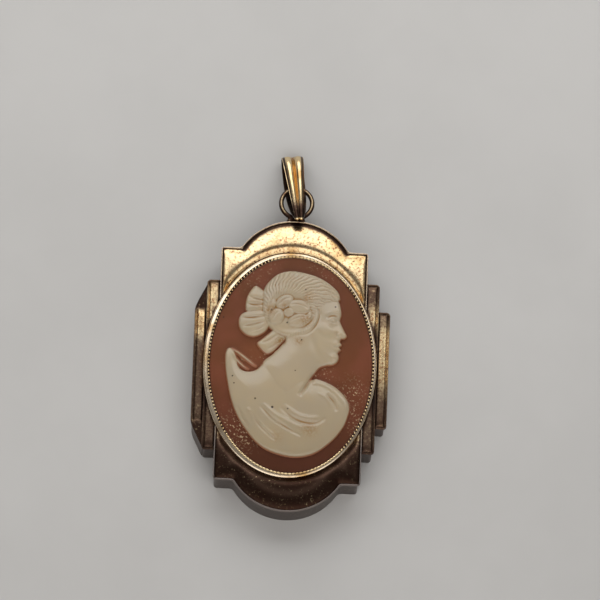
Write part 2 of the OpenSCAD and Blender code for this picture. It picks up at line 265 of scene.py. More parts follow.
def store(thing, name, values):
    """A value for each vertex, for the materials to read."""
    attribute = thing.data.attributes.new(name, "FLOAT", "POINT")
    attribute.data.foreach_set("value", np.asarray(values, np.float32))


def cut_or_join(thing, other, operation):
    """Joins the other object to the thing or cuts it out, and removes the other object."""
    modifier = thing.modifiers.new("solid", "BOOLEAN")
    modifier.operation, modifier.object, modifier.solver = operation, other, "EXACT"
    graph = bpy.context.evaluated_depsgraph_get()
    result = bpy.data.meshes.new_from_object(thing.evaluated_get(graph))
    thing.modifiers.clear()
    # Points closer together than a tenth of a micron are one point, or the next cut could fail on a sliver.
    work = bmesh.new()
    work.from_mesh(result)
    bmesh.ops.remove_doubles(work, verts=work.verts, dist=1e-4 * MM)
    bmesh.ops.dissolve_degenerate(work, edges=work.edges, dist=1e-4 * MM)
    work.to_mesh(result)
    work.free()
    old = thing.data
    result.name = old.name
    thing.data = result
    bpy.data.meshes.remove(old)
    bpy.data.objects.remove(other)
    return thing


def finish_piece(thing, body, slot, *nodes):
    """Puts a piece on its moving body, in place of the nodes that it takes over."""
    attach(thing, body)
    if nodes:
        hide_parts(*nodes)


# Materials

# The kinds of node used most, and the settings that two of them nearly always have
MATH, MIX, RANGE = "ShaderNodeMath", "ShaderNodeMix", "ShaderNodeMapRange"
NOISE, ATTRIBUTE, SHADER = "ShaderNodeTexNoise", "ShaderNodeAttribute", "ShaderNodeBsdfPrincipled"
USUAL = {MIX: {"data_type": "RGBA"}, RANGE: {"interpolation_type": "SMOOTHSTEP"}}


def node(tree, kind, inputs=(), **settings):
    """Adds a node with its settings. Its inputs are values, or nodes or sockets to link from. A tuple fills
    the sockets in use in their order, and a dict fills them by name."""
    made = tree.nodes.new(kind)
    for key, value in {**USUAL.get(kind, {}), **settings}.items():
        setattr(made, key, value)
    if not isinstance(inputs, dict):
        inputs = dict(zip([k for k, socket in enumerate(made.inputs) if socket.enabled], inputs))
    for key, value in inputs.items():
        if isinstance(value, bpy.types.Node):
            value = next(socket for socket in value.outputs if socket.enabled)
        if isinstance(value, bpy.types.NodeSocket):
            tree.links.new(value, made.inputs[key])
        else:
            made.inputs[key].default_value = value
    return made


def new_material(name):
    """An empty material, and what adds nodes to it."""
    material = bpy.data.materials.new(name)
    material.use_nodes = True
    material.node_tree.nodes.clear()
    return material, partial(node, material.node_tree)


def grains(millimetres):
    """Noise scale whose grains are about that wide."""
    return 0.5 / (millimetres * MM)


def worn_gold(name, bright, roughness, speckle, marks=()):
    """Rolled gold over brass, die-stamped and polished, then worn. The thin gold is bright on the crests. A
    brown tarnish is speckled over it in grains of about 0.15 mm and lies thickest in the creases. The hollow
    mark also carries painted shade and painted dark reflections, which darken the metal in the same way. The
    rims and outer walls have lost their gold and show a duller, greyer metal."""
    material, add = new_material(name)
    marked = {mark: add(ATTRIBUTE, attribute_name=mark).outputs["Fac"] for mark in marks}
    coords = add("ShaderNodeTexCoord").outputs["Object"]
    fine = add(NOISE, {"Vector": coords, "Scale": grains(0.13), "Detail": 5.0, "Roughness": 0.7})
    broad = add(NOISE, {"Vector": coords, "Scale": grains(1.7), "Detail": 3.0, "Roughness": 0.6})
    spots = add(MATH, (broad, 0.5, fine), operation="MULTIPLY_ADD")
    tarnish = add(RANGE, (spots, 0.86 - speckle, 1.0 - speckle * 0.5))
    dark = colour("patina")
    if "hollow" in marked:
        # The speckle grows denser and darker towards the hollows, and closes over them but for a few flecks. The
        # same mark carries painted shade, which darkens the metal in the same way.
        spread = add(MATH, (fine, 0.5, marked["hollow"]), operation="MULTIPLY_ADD")
        cover = add(MATH, (add(RANGE, (fine, 0.4, 0.33)), -0.3, 1.0), operation="MULTIPLY_ADD")
        closed = add(MATH, (add(RANGE, (spread, 0.42, 0.95)), cover), operation="MULTIPLY")
        tarnish = add(MATH, (tarnish, closed), operation="MAXIMUM")
        # Where the mark is strongest, much of it painted shade, the brown turns nearly black.
        dark = add(MIX, (add(RANGE, (marked["hollow"], 0.6, 0.95)), dark, rgba("#2C1B17")))
    gold = add(MIX, (add(RANGE, (broad, 0.46, 0.72)), bright, colour("gold_warm")))
    if speckle > 0:
        coppery = add(MATH, (add(RANGE, (fine, 0.5, 0.6)), 0.75), operation="MULTIPLY")
        gold = add(MIX, (coppery, gold, rgba("#A5683F")))
    # Painted reflection: where the groove mark is set, the metal takes the deep orange of light bounced between
    # the groove's gold walls.
    if "groove" in marked:
        gold = add(MIX, (marked["groove"], gold, rgba("#AE7D38")))
    base = add(MIX, (add(MATH, (tarnish, 0.985), operation="MULTIPLY"), gold, dark))
    if "bare" in marked:
        worn = add(MATH, (marked["bare"], 0.85), operation="MULTIPLY")
        base = add(MIX, (worn, base, colour("wall_metal")))
    rough = add(MATH, (tarnish, 0.2, roughness), operation="MULTIPLY_ADD")
    bump = add("ShaderNodeBump", {"Height": fine, "Strength": 1.0, "Distance": 0.005 * MM})
    shader = add(SHADER, {"Base Color": base, "Metallic": 1.0, "Roughness": rough, "Normal": bump})
    add("ShaderNodeOutputMaterial", {"Surface": shader})
    return material


def carved_shell():
    """Helmet shell, carved and polished. Its white outer layer is left as the figure, soft and a little
    translucent. The brown inner layer shows as the ground, with chalky flecks where the carver stopped."""
    material, add = new_material("carved helmet shell")
    coords = add("ShaderNodeTexCoord").outputs["Object"]
    height, recess, chalk, speck, shade, stain, glow = (
        add(ATTRIBUTE, attribute_name=name).outputs["Fac"]
        for name in ("relief", "recess", "chalk", "speck", "shade", "stain", "glow"))
    fine = add(NOISE, {"Vector": coords, "Scale": grains(0.12), "Detail": 4.0, "Roughness": 0.6})
    broad = add(NOISE, {"Vector": coords, "Scale": grains(2.2), "Detail": 2.0, "Roughness": 0.6})
    ground = add(MIX, (add(RANGE, (broad, 0.35, 0.65)), colour("shell_ground"), rgba("#764028")))
    ground = add(MIX, (glow, ground, rgba("#8E5230")))
    ground = add(MIX, (shade, ground, rgba("#452110")))
    flecks = add(MATH, (add(RANGE, (fine, 0.56, 0.66)), chalk), operation="MULTIPLY")
    ground = add(MIX, (flecks, ground, rgba("#C9B18C")))
    ivory = add(MIX, (add(RANGE, (broad, 0.3, 0.7)), colour("shell_ivory"), rgba("#B0A189")))
    ivory = add(MIX, (add(MATH, (shade, 0.5), operation="MULTIPLY"), ivory, rgba("#9A8866")))
    dirt = add(MATH, (add(RANGE, (recess, 0.15, 0.9)), add(RANGE, (broad, 0.35, 0.6))), operation="MULTIPLY")
    spill = add(MATH, (stain, add(RANGE, (fine, 0.35, 0.6))), operation="MULTIPLY")
    ivory = add(MIX, (add(MATH, (dirt, spill), operation="MAXIMUM"), ivory, colour("stain")))
    # The white layer is thin and pinkish at the figure's foot.
    ivory = add(MIX, (add(RANGE, (height, 0.10, 0.34)), rgba("#9A6446"), ivory))
    base = add(MIX, (add(RANGE, (height, 0.015, 0.07)), ground, ivory))
    base = add(MIX, (speck, base, rgba("#2A1A12")))
    # The raised figure is rubbed smoother than the ground.
    polish = add(RANGE, (height, 0.05, 0.2))
    shader = add(SHADER, {
        "Base Color": base, "IOR": 1.53,
        "Roughness": add(MATH, (polish, -0.24, 0.42), operation="MULTIPLY_ADD"),
        "Specular IOR Level": add(MATH, (polish, 0.3, 0.2), operation="MULTIPLY_ADD"),
        "Normal": add("ShaderNodeBump", {"Height": fine, "Strength": 0.3, "Distance": 0.006 * MM}),
        "Subsurface Weight": 0.25, "Subsurface Radius": (1.0, 0.6, 0.4), "Subsurface Scale": 0.35 * MM})
    add("ShaderNodeOutputMaterial", {"Surface": shader})
    return material


def plain_paper():
    """Uncoated grey paper: matt, with a faint cloudiness."""
    material, add = new_material("uncoated grey paper")
    cloud = add(NOISE, {"Vector": add("ShaderNodeTexCoord").outputs["Object"], "Scale": grains(12),
                        "Detail": 4.0, "Roughness": 0.6})
    base = add(MIX, (add(RANGE, (cloud, 0.3, 0.7)), colour("paper"), rgba("#C4C3C1")))
    shader = add(SHADER, {"Base Color": base, "Roughness": 0.85, "Specular IOR Level": 0.2})
    add("ShaderNodeOutputMaterial", {"Surface": shader})
    return material


# Outlines of the frame

def panel_outline(s, inset, spacing=0.15):
    """Outline of the main panel moved inwards, counter-clockwise, with as many points at any inset."""
    lobe_r, lobe_y = s["lobe_r"], s["lobe_end"] - s["lobe_r"]
    shoulder_y = s["lobe_end"] - s["shoulder_drop"]
    x, y, r = s["side_x"] - inset, shoulder_y - inset, lobe_r - inset
    xj = math.sqrt(r * r - (y - lobe_y) ** 2)
    swing = math.atan2(xj, y - lobe_y)
    n_side, n_shoulder = int(2 * shoulder_y / spacing), int(s["shoulder_w"] / spacing)
    n_arc = int(2 * lobe_r * math.asin(s["chord"] / lobe_r) / spacing)

    def run(p, q, n):
        t = np.arange(n)[:, None] / n
        return np.array(p) + (np.array(q) - np.array(p)) * t

    turn = math.pi / 2 - swing + 2 * swing * np.arange(n_arc) / n_arc
    arc = np.stack([r * np.cos(turn), lobe_y + r * np.sin(turn)], -1)
    half = np.concatenate([run((x, -y), (x, y), n_side), run((x, y), (xj, y), n_shoulder), arc,
                           run((-xj, y), (-x, y), n_shoulder)])
    return np.concatenate([half, -half])


def soften(ring, passes):
    """Rounds the corners of a closed ring of points."""
    for _ in range(passes):
        ring = (np.roll(ring, 1, 0) + 2 * ring + np.roll(ring, -1, 0)) / 4
    return ring


def oval_ring(a, b, out, z, count):
    """Ring of points parallel to an ellipse, at a distance outside it and at a height."""
    t = np.arange(count) * 2 * math.pi / count
    normal = np.stack([b * np.cos(t), a * np.sin(t)], -1)
    normal /= np.linalg.norm(normal, axis=1)[:, None]
    flat = np.stack([a * np.cos(t), b * np.sin(t)], -1) + out * normal
    return at_height(flat, z)


def prism(name, outline, low, high, material):
    """Upright solid over a closed outline."""
    count = len(outline)
    points = np.concatenate([at_height(outline, low), at_height(outline, high)])
    sides = [(i, (i + 1) % count, count + (i + 1) % count, count + i) for i in range(count)]
    faces = sides + [tuple(range(count - 1, -1, -1)), tuple(range(count, 2 * count))]
    return mesh_object(name, points, faces, material)


def distance_in(points, outline):
    """Distance of flat points inside a closed outline, negative outside it."""
    best = np.full(len(points), 1e9)
    inside = np.zeros(len(points), bool)
    for (ax, ay), (bx, by) in zip(outline, np.roll(outline, -1, 0)):
        dx, dy = bx - ax, by - ay
        size = dx * dx + dy * dy
        if size < 1e-12:
            continue
        px, py = points[:, 0] - ax, points[:, 1] - ay
        t = np.clip((px * dx + py * dy) / size, 0, 1)
        best = np.minimum(best, (px - t * dx) ** 2 + (py - t * dy) ** 2)
        if dy != 0:
            crosses = (ay > points[:, 1]) != (by > points[:, 1])
            inside ^= crosses & (points[:, 0] < ax + (points[:, 1] - ay) * dx / dy)
    best = np.sqrt(best)
    return np.where(inside, best, -best)


# The pieces

class PENDANT_OT_frame(bpy.types.Operator):
    """Stamped panel with its lobes, side bars and soldered hanging ring"""
    bl_idname = "pendant.frame"
    bl_label = "Frame"

    def execute(self, context):
        s = sizes()
        gold = worn_gold("rolled gold, stamped", colour("gold"), 0.22, 0.04, ("hollow", "bare"))
        body = self.recessed(s, self.panel(s, gold), gold)
        for side in (1, -1):
            pair = cut_or_join(self.bar(s, gold, side, "inner"), self.bar(s, gold, side, "outer"), "UNION")
            body = cut_or_join(body, self.recessed(s, pair, gold), "UNION")
        body = cut_or_join(body, self.ring(s, gold), "UNION")
        body.data.shade_smooth()
        body.data.set_sharp_from_angle(angle=math.radians(38))
        self.mark_wear_and_shade(body, s)
        finish_piece(body, PENDANT, "frame_metal", "frame")
        return {"FINISHED"}

    def recessed(self, s, thing, material):
        """Cuts the oval recess that the bezel drops into."""
        cutter = prism("recess", self.bezel_foot(s, 0.02), s["ledge_z"], s["rim_z"] + 2, material)
        return cut_or_join(thing, cutter, "DIFFERENCE")

    @staticmethod
    def bezel_foot(s, out):
        """Outline of the bezel's foot, which sits a little to the left of the stone's middle."""
        foot = oval_ring(CUP_A, CUP_B, out, 0, 480)[:, :2]
        return foot - (s["bezel_drift"], 0)

    def panel(self, s, material):
        """The bent sheet, from the foot of its wall over the moulding to the ledge and back inside."""
        rim, land, crease, over = s["rim_z"], s["land"], s["crease"], s["overhang"]
        low = rim - s["rim_t"]
        a_in, b_in = s["side_x"] - s["window_side"], CUP_B - s["window_end"]
        # Rows along the rim. Columns: inset from the outline, height
        edge = [(over + 0.1, 0), (over + 0.03, 0.03), (over, 0.1), (over, low), (0.04, low), (0, low + 0.05),
                (0, rim - 0.07), (0.02, rim - 0.02), (0.06, rim), (land - 0.04, rim), (land, rim - 0.03),
                (land + 0.04, rim - crease)]
        rings = [at_height(soften(panel_outline(s, inset), 6), z) for inset, z in edge]
        # The moulding swells inwards from the crease, without a fold where two sides meet.
        start = soften(panel_outline(s, land + 0.09), 8)
        goal = start / np.hypot(start[:, 0] / a_in, start[:, 1] / b_in)[:, None]
        for share in np.concatenate([np.linspace(0, 0.3, 22), np.linspace(0.3, 0.74, 24)[1:]]):
            flat = start + (goal - start) * share
            rings.append(at_height(flat, self.swell(s, flat)))
        floor = s["ledge_z"] - s["ledge_t"]
        rings.append(at_height(flat, floor + 0.1))
        inner, under = soften(panel_outline(s, over + s["wall"]), 6), rim - s["wall"]
        for share, z in ((0.5, floor + 0.1), (0.22, under - 0.25), (0, under - 0.3), (0, 0)):
            rings.append(at_height(inner + (goal - inner) * share, z))
        body = loft("frame", rings, material)
        plate = oval_ring(CUP_A, CUP_B, 0.4, 0, 240)[:, :2]
        limit = s["side_x"] - over - s["wall"] / 2
        plate[:, 0] = np.clip(plate[:, 0], -limit, limit)
        ledge_solid = prism("ledge", plate, floor, s["ledge_z"] + 0.05, material)
        window = oval_ring(a_in, b_in, 0, 0, 240)[:, :2]
        window = prism("window", window, floor - 1, s["ledge_z"] + 1, material)
        return cut_or_join(body, cut_or_join(ledge_solid, window, "DIFFERENCE"), "UNION")

    def swell(self, s, places):
        """Height of the moulding: steep at the crease, then nearly level, and dipping at the bezel's foot."""
        x, y = np.abs(places[:, 0]), np.abs(places[:, 1])
        side, shoulder = s["side_x"] - x, s["lobe_end"] - s["shoulder_drop"] - y
        arc = s["lobe_r"] - np.hypot(x, y - (s["lobe_end"] - s["lobe_r"]))
        # The shoulders blend softly into the sides, and the lobe more sharply into both.
        blend, lobe_blend = 2.6, 5.0
        inside = (side > 0.01) & (shoulder > 0.01)
        side, shoulder = np.maximum(side, 0.01), np.maximum(shoulder, 0.01)
        block = np.where(inside, (side ** -blend + shoulder ** -blend) ** (-1 / blend), 0)
        depth = (block ** lobe_blend + np.maximum(arc, 0) ** lobe_blend) ** (1 / lobe_blend)
        reach, lift = self.swell_profile(s)
        z = np.interp(depth - s["land"] - 0.05, reach, lift)
        gap = np.maximum(-distance_in(places, self.bezel_foot(s, 0)), 0)
        dip_depth, dip_width = 0.5, 0.42
        dip = dip_depth * np.exp(-(gap / dip_width) ** 2) * smoothstep(0.1, 0.7, depth - s["land"])
        return s["rim_z"] - s["crease"] + z - dip

    @staticmethod
    def swell_profile(s):
        """Rise of the moulding against the distance in from its crease, steep at first and then gentle."""
        steep, steep_reach, gentle, gentle_reach = 0.85, 0.5, 0.19, 2.0
        reach = np.linspace(0, 4.2, 85)
        slope = steep * np.exp(-reach / steep_reach) + gentle * np.exp(-(reach / gentle_reach) ** 2)
        lift = np.concatenate([[0], np.cumsum((slope[1:] + slope[:-1]) / 2 * np.diff(reach))])
        return reach, lift * (s["roll"] + s["crease"]) / lift[-1]

    def bar(self, s, material, side, which):
        """A hollow side bar: a rounded face inside a thin rim, round its outer side and both its ends."""
        x_in = s["side_x"] + (s["inner_bar_w"] if which == "outer" else 0)
        width, rim, half = s[which + "_bar_w"], s[which + "_bar_z"], s[which + "_bar_l"]
        slant = s["slant"] if which == "outer" and side < 0 else 0.0
        shift = s["stagger"] * side
        over, land, crease, corner = s["overhang"], s["land"], s["crease"], s["bar_corner"]
        x0, x1 = x_in - over - s["wall"] / 2, x_in + width
        low = rim - s["rim_t"]
        face_end = half - 0.26

        # Distances in from the rim's edge, across the bar and from its ends: edge, land and crease
        edge = np.array([0, 0.01, 0.035, 0.07, land - 0.03, land, land + 0.04, land + 0.09])
        across = np.concatenate([edge, edge[-1] + np.linspace(0, 1, 20)[1:] * (x1 - x0 - edge[-1])])
        square = face_end - np.array([0, 0.03, 0.08, 0.15, 0.24, 0.35, 0.5, 0.7, 1.0, 1.6, 2.6, 3.8])
        lean = slant * np.minimum(across / (width + over / 2), 1)
        rows = [half + lean - d for d in edge]
        for f in (0.3, 0.6, 0.85):
            rows.append((half + lean - edge[-1]) * (1 - f) + square[0] * f)
        rows += [np.full(len(across), y) for y in square]
        upper = np.array(rows)
        y = np.concatenate([upper, [np.zeros(len(across))], -upper[::-1]])
        far = np.full(2 * (len(rows) - len(edge)) + 1, half)
        along = np.concatenate([edge, far, edge[::-1]])
        x = np.broadcast_to(x1 - across, y.shape).copy()
        # The outer corners are rounded. Distances in from the side and from the end: a and b
        a, b = np.broadcast_to(across[None, :], y.shape), np.broadcast_to(along[:, None], y.shape)
        depth = np.minimum(a, b)
        reach_a, reach_b = np.clip(a, 0, corner), np.clip(half + lean[None, :] - np.abs(y), 0, corner)
        inner = np.minimum(reach_a, reach_b)
        share = 1 - np.abs(reach_a - reach_b) / (corner - inner + 1e-9)
        turn = np.where(reach_a < reach_b, share, 2 - share) * math.pi / 4
        in_corner = (reach_a < corner) & (reach_b < corner)
        new_a = corner - (corner - inner) * np.cos(turn)
        new_b = corner - (corner - inner) * np.sin(turn)
        x = np.where(in_corner, x1 - new_a, x)
        y = np.where(in_corner, np.sign(y) * (half + slant * new_a / (width + over / 2) - new_b), y)

        # The face rises steeply from its outer crease to a crest nearer the rim, and falls away inwards.
        u = np.clip((x1 - edge[-1] - x) / (x1 - edge[-1] - x_in), 0, 1.2)
        crest, fall, end_round, bow = 0.36, 0.7, 0.75, 0.07
        bulge = np.sqrt(np.clip(1 - ((u - crest) / np.where(u < crest, crest, fall)) ** 2, 0, 1))
        fade = np.sqrt(np.clip(1 - (1 - np.clip((face_end - np.abs(y)) / end_round, 0, 1)) ** 2, 0, 1))
        bow *= (np.abs(y) / half) ** 2
        face = rim - crease - 0.03 + (s["bar_roll"] + crease + 0.03) * bulge * fade - bow * fade
        lip = rim - 0.07 * (1 - np.clip(depth / 0.07, 0, 1)) ** 2
        z = np.where(depth <= land - 0.02, lip, np.where(depth <= land + 0.01, rim - 0.03, face))
        top = np.stack([side * x, y + shift, z], -1).reshape(-1, 3)
        base = at_height(top[:, :2], low)
        quads, loop = sheet_faces(*x.shape)
        walls = np.stack([loop, np.roll(loop, 1), np.roll(loop, 1) + x.size, loop + x.size], -1)
        faces = np.concatenate([quads, walls, x.size + quads[:, ::-1]])
        solid = mesh_object("bar", np.concatenate([top, base]), faces, material)
        plan = self.bar_plan(s, side, x0, x1, half, slant, width, shift)
        solid = cut_or_join(solid, prism("wall", plan, 0, low + 0.1, material), "UNION")
        hx0, hx1 = x_in - over, x1 - over - s["wall"]
        hy, hz = half - s["wall"], min(rim, s["ledge_z"]) - s["wall"]
        corners = np.array([(side * hx0, -hy), (side * hx1, -hy), (side * hx1, hy), (side * hx0, hy)])
        channel = prism("channel", corners[::side] + (0, shift), -1, hz, material)
        return cut_or_join(solid, channel, "DIFFERENCE")

    @staticmethod
    def bar_plan(s, side, x0, x1, half, slant, width, shift):
        """Outline of a bar's wall under its rim, with its outer corners rounded."""
        over = s["overhang"]
        corner, outer, end = s["bar_corner"] - over / 2, x1 - over, half - over
        turn = np.linspace(0, math.pi / 2, 6)
        upper = (outer - corner, end - corner) + corner * np.column_stack([np.cos(turn), np.sin(turn)])
        upper = np.concatenate([upper, [(x1 - width - over / 2, end), (x0, end)]])
        upper[:, 1] += slant * np.minimum((x1 - upper[:, 0]) / (width + over / 2), 1)
        plan = np.concatenate([upper[::-1] * (1, -1), upper])
        return (plan * (side, 1))[::side] + (0, shift)

    def ring(self, s, material):
        """Round wire ring with its solder foot."""
        end, radius, wire, z = s["lobe_end"], s["ring_r"], s["ring_wire"] / 2, PIVOT[2]
        middle_y = end + s["ring_gap"] + radius
        t = np.arange(96) * 2 * math.pi / 96
        rings = []
        for u in np.arange(20) * 2 * math.pi / 20:
            r = radius + wire * math.cos(u)
            flat = np.column_stack([r * np.cos(t), middle_y + r * np.sin(t)])
            rings.append(at_height(flat, z + wire * math.sin(u)))
        wire_ring = loft("ring", rings, material)
        # The foot narrows from inside the lobe's wall to the ring's wire, and is squarish across.
        rows, cols = 9, 24
        u = np.arange(cols) * 2 * math.pi / cols
        square = np.sign(np.cos(u)) * np.abs(np.cos(u)) ** 0.6
        low_y, high_y = end - 0.45, middle_y - radius + 0.08
        foot = []
        for f in np.linspace(0, 1, rows):
            half, thick = 1.5 - 0.62 * math.sin(f * math.pi / 2), wire * (1.12 - 0.2 * f)
            y = np.full(cols, low_y + f * (high_y - low_y))
            foot.append(np.column_stack([half * square, y, z + thick * np.sin(u)]))
        points, last = np.concatenate(foot), rows * cols - 1
        faces = loft_faces(rows, cols)[:-cols].tolist() + [range(cols), range(last, last - cols, -1)]
        return cut_or_join(wire_ring, mesh_object("foot", points, faces, material), "UNION")

    def mark_wear_and_shade(self, body, s):
        """Marks where tarnish gathers, in creases and joints, where shade and dark reflections are painted, and
        where rims and walls have lost their gold.
        """
        places = read(body.data.vertices, "co").astype(float) / MM
        x, y, z = places.T
        upward = read(body.data.vertex_normals, "vector")[:, 2]
        side_x, end = s["side_x"], s["lobe_end"]
        depth = distance_in(places[:, :2], panel_outline(s, 0, 0.6))
        cup = distance_in(places[:, :2], self.bezel_foot(s, 0))
        crease_at = s["land"] + 0.08
        on_panel = z > s["inner_bar_z"] + 0.06
        # Tarnish lies in the crease inside the rim. Along the lobes the darkening reaches further in, as painted
        # shade standing for the dark reflection of the moulding's steep outer slope.
        lobe = 1 - smoothstep(-0.6, 0.3, np.abs(x) - s["chord"])
        past = np.maximum(depth - crease_at - 0.12 * lobe, 0)
        fall = np.where(past > 0, 0.1 + 0.26 * lobe, 0.09)
        layers = [on_panel * np.exp(-(np.where(depth > crease_at, past, depth - crease_at) / fall) ** 2)]
        # Painted shade along the corner where the moulding meets the bezel's foot.
        layers.append(np.exp(-(np.minimum(cup, 0) / 0.12) ** 2) * (z > s["ledge_z"]) * 0.9)
        # The gold is grainier a little way off the bezel.
        layers.append(0.45 * np.exp(-((cup + 0.62) / 0.14) ** 2) * on_panel)
        # The lower lobe is darkened all over, less along its middle, partly as tarnish and mostly as painted
        # shade standing for the dark room that it reflects.
        lower = 0.97 - 0.2 * np.exp(-((depth - 1.9) / 0.5) ** 2)
        layers.append(lower * smoothstep(4, 11.5, -y) * (z > 2.9))
        # The bars are darkened too, partly as tarnish and partly as painted shade, and a few stretches are left
        # lighter as painted highlights. Columns: across, middle, half length
        bars = 0.64 * ((np.abs(x) > side_x + 0.05) & (z > 2.5) & (np.abs(y) < s["inner_bar_l"] + 0.5))
        for spot_x, spot_y, long in ((-8.6, 6.2, 2.6), (-9.8, 4.6, 1.5), (9.9, 1.5, 3.5), (8.6, 5.0, 2.0)):
            bars = bars * (1 - 0.75 * np.exp(-((x - spot_x) / 0.6) ** 4 - ((y - spot_y) / long) ** 4))
        layers.append(bars)
        outer_x = side_x + s["inner_bar_w"]
        layers.append(0.9 * ((x < -outer_x) & (np.abs(y + s["stagger"]) > s["outer_bar_l"] - 0.1)))
        # Painted shade on each bar's face at the foot of the taller step beside it.
        for edge_x, bar in ((side_x, "inner_bar"), (outer_x, "outer_bar")):
            near = np.exp(-((np.abs(x) - edge_x) / 0.2) ** 2) * (np.abs(y) < s[bar + "_l"] + 0.4)
            layers.append(0.95 * near * (z > s[bar + "_z"] - 0.5) * (z < s[bar + "_z"] + 0.1))
        # Only the crown of the ring's wire is rubbed.
        wire = 1 - 0.6 * smoothstep(0.86, 0.99, upward) * smoothstep(end + 0.5, end + 1.3, y)
        layers.append(wire * (depth < -0.06) * (y > end))
        # The walls are duller still than the rims.
        wall = (upward < 0.35) & (z < s["rim_z"] - s["rim_t"] + 0.02) & (y < end + 0.05)
        store(body, "hollow", np.where(wall, 0.95, np.clip(np.max(layers, axis=0), 0, 1)))
        bare = smoothstep(0.5, 0.15, upward) * (y < end + 0.05) * np.where(wall, 0.42, 1)
        rim = (np.abs(depth - 0.05) < 0.08) & (z > s["rim_z"] - 0.15)
        store(body, "bare", np.clip(np.maximum(bare, 0.75 * rim), 0, 1))


class PENDANT_OT_bezel(bpy.types.Operator):
    """Oval setting with its seat and turned-over lip"""
    bl_idname = "pendant.bezel"
    bl_label = "Bezel"

    def execute(self, context):
        s = sizes()
        low, high, under = BEZEL_LOW[2], BEZEL_HIGH[2], STONE_LOW[2]
        grow, lip, seat = CUP_A - STONE_A, s["bezel_lip"], s["bezel_seat"]
        play, lip_low = 0.05, high - 0.2
        # Round the section: foot, wall, rubbed-down band, channel for the beads, lip and seat. Columns:
        # distance outside the stone's edge, distance below the top
        upper = [(grow, 0.36), (grow - 0.015, 0.3), (0.2, 0.19), (0.145, 0.125), (0.08, 0.09), (0.0, 0.06),
                 (-0.06, 0.04), (-0.1, 0.035), (-0.13, 0.07), (-0.2, 0.12), (-0.29, 0.12), (-0.35, 0.13),
                 (-lip, 0.17)]
        section = [(grow - 0.03, low), (grow, low + 0.03)] + [(out, high - down) for out, down in upper]
        section += [(-lip + 0.02, lip_low), (play, lip_low), (play, under), (-seat, under), (-seat, low)]
        gold = worn_gold("rolled gold, bezel strip", colour("bezel_gold"), 0.26, -0.08, ("hollow",))
        rings = []
        for out, z in section:
            ring = oval_ring(STONE_A, STONE_B, out, z, 360)
            ring[:, 0] -= s["bezel_drift"] * min(max((out + 0.1) / (grow + 0.1), 0), 1)
            rings.append(ring)
        body = loft("bezel", rings, gold, 50)
        # Dirt lies in the channel between the beads.
        channel = [1.0 if -0.36 < out < -0.12 and z > lip_low else 0.0 for out, z in section]
        store(body, "hollow", np.repeat(channel, 360))
        finish_piece(body, PENDANT, "bezel_metal", "bezel")
        return {"FINISHED"}


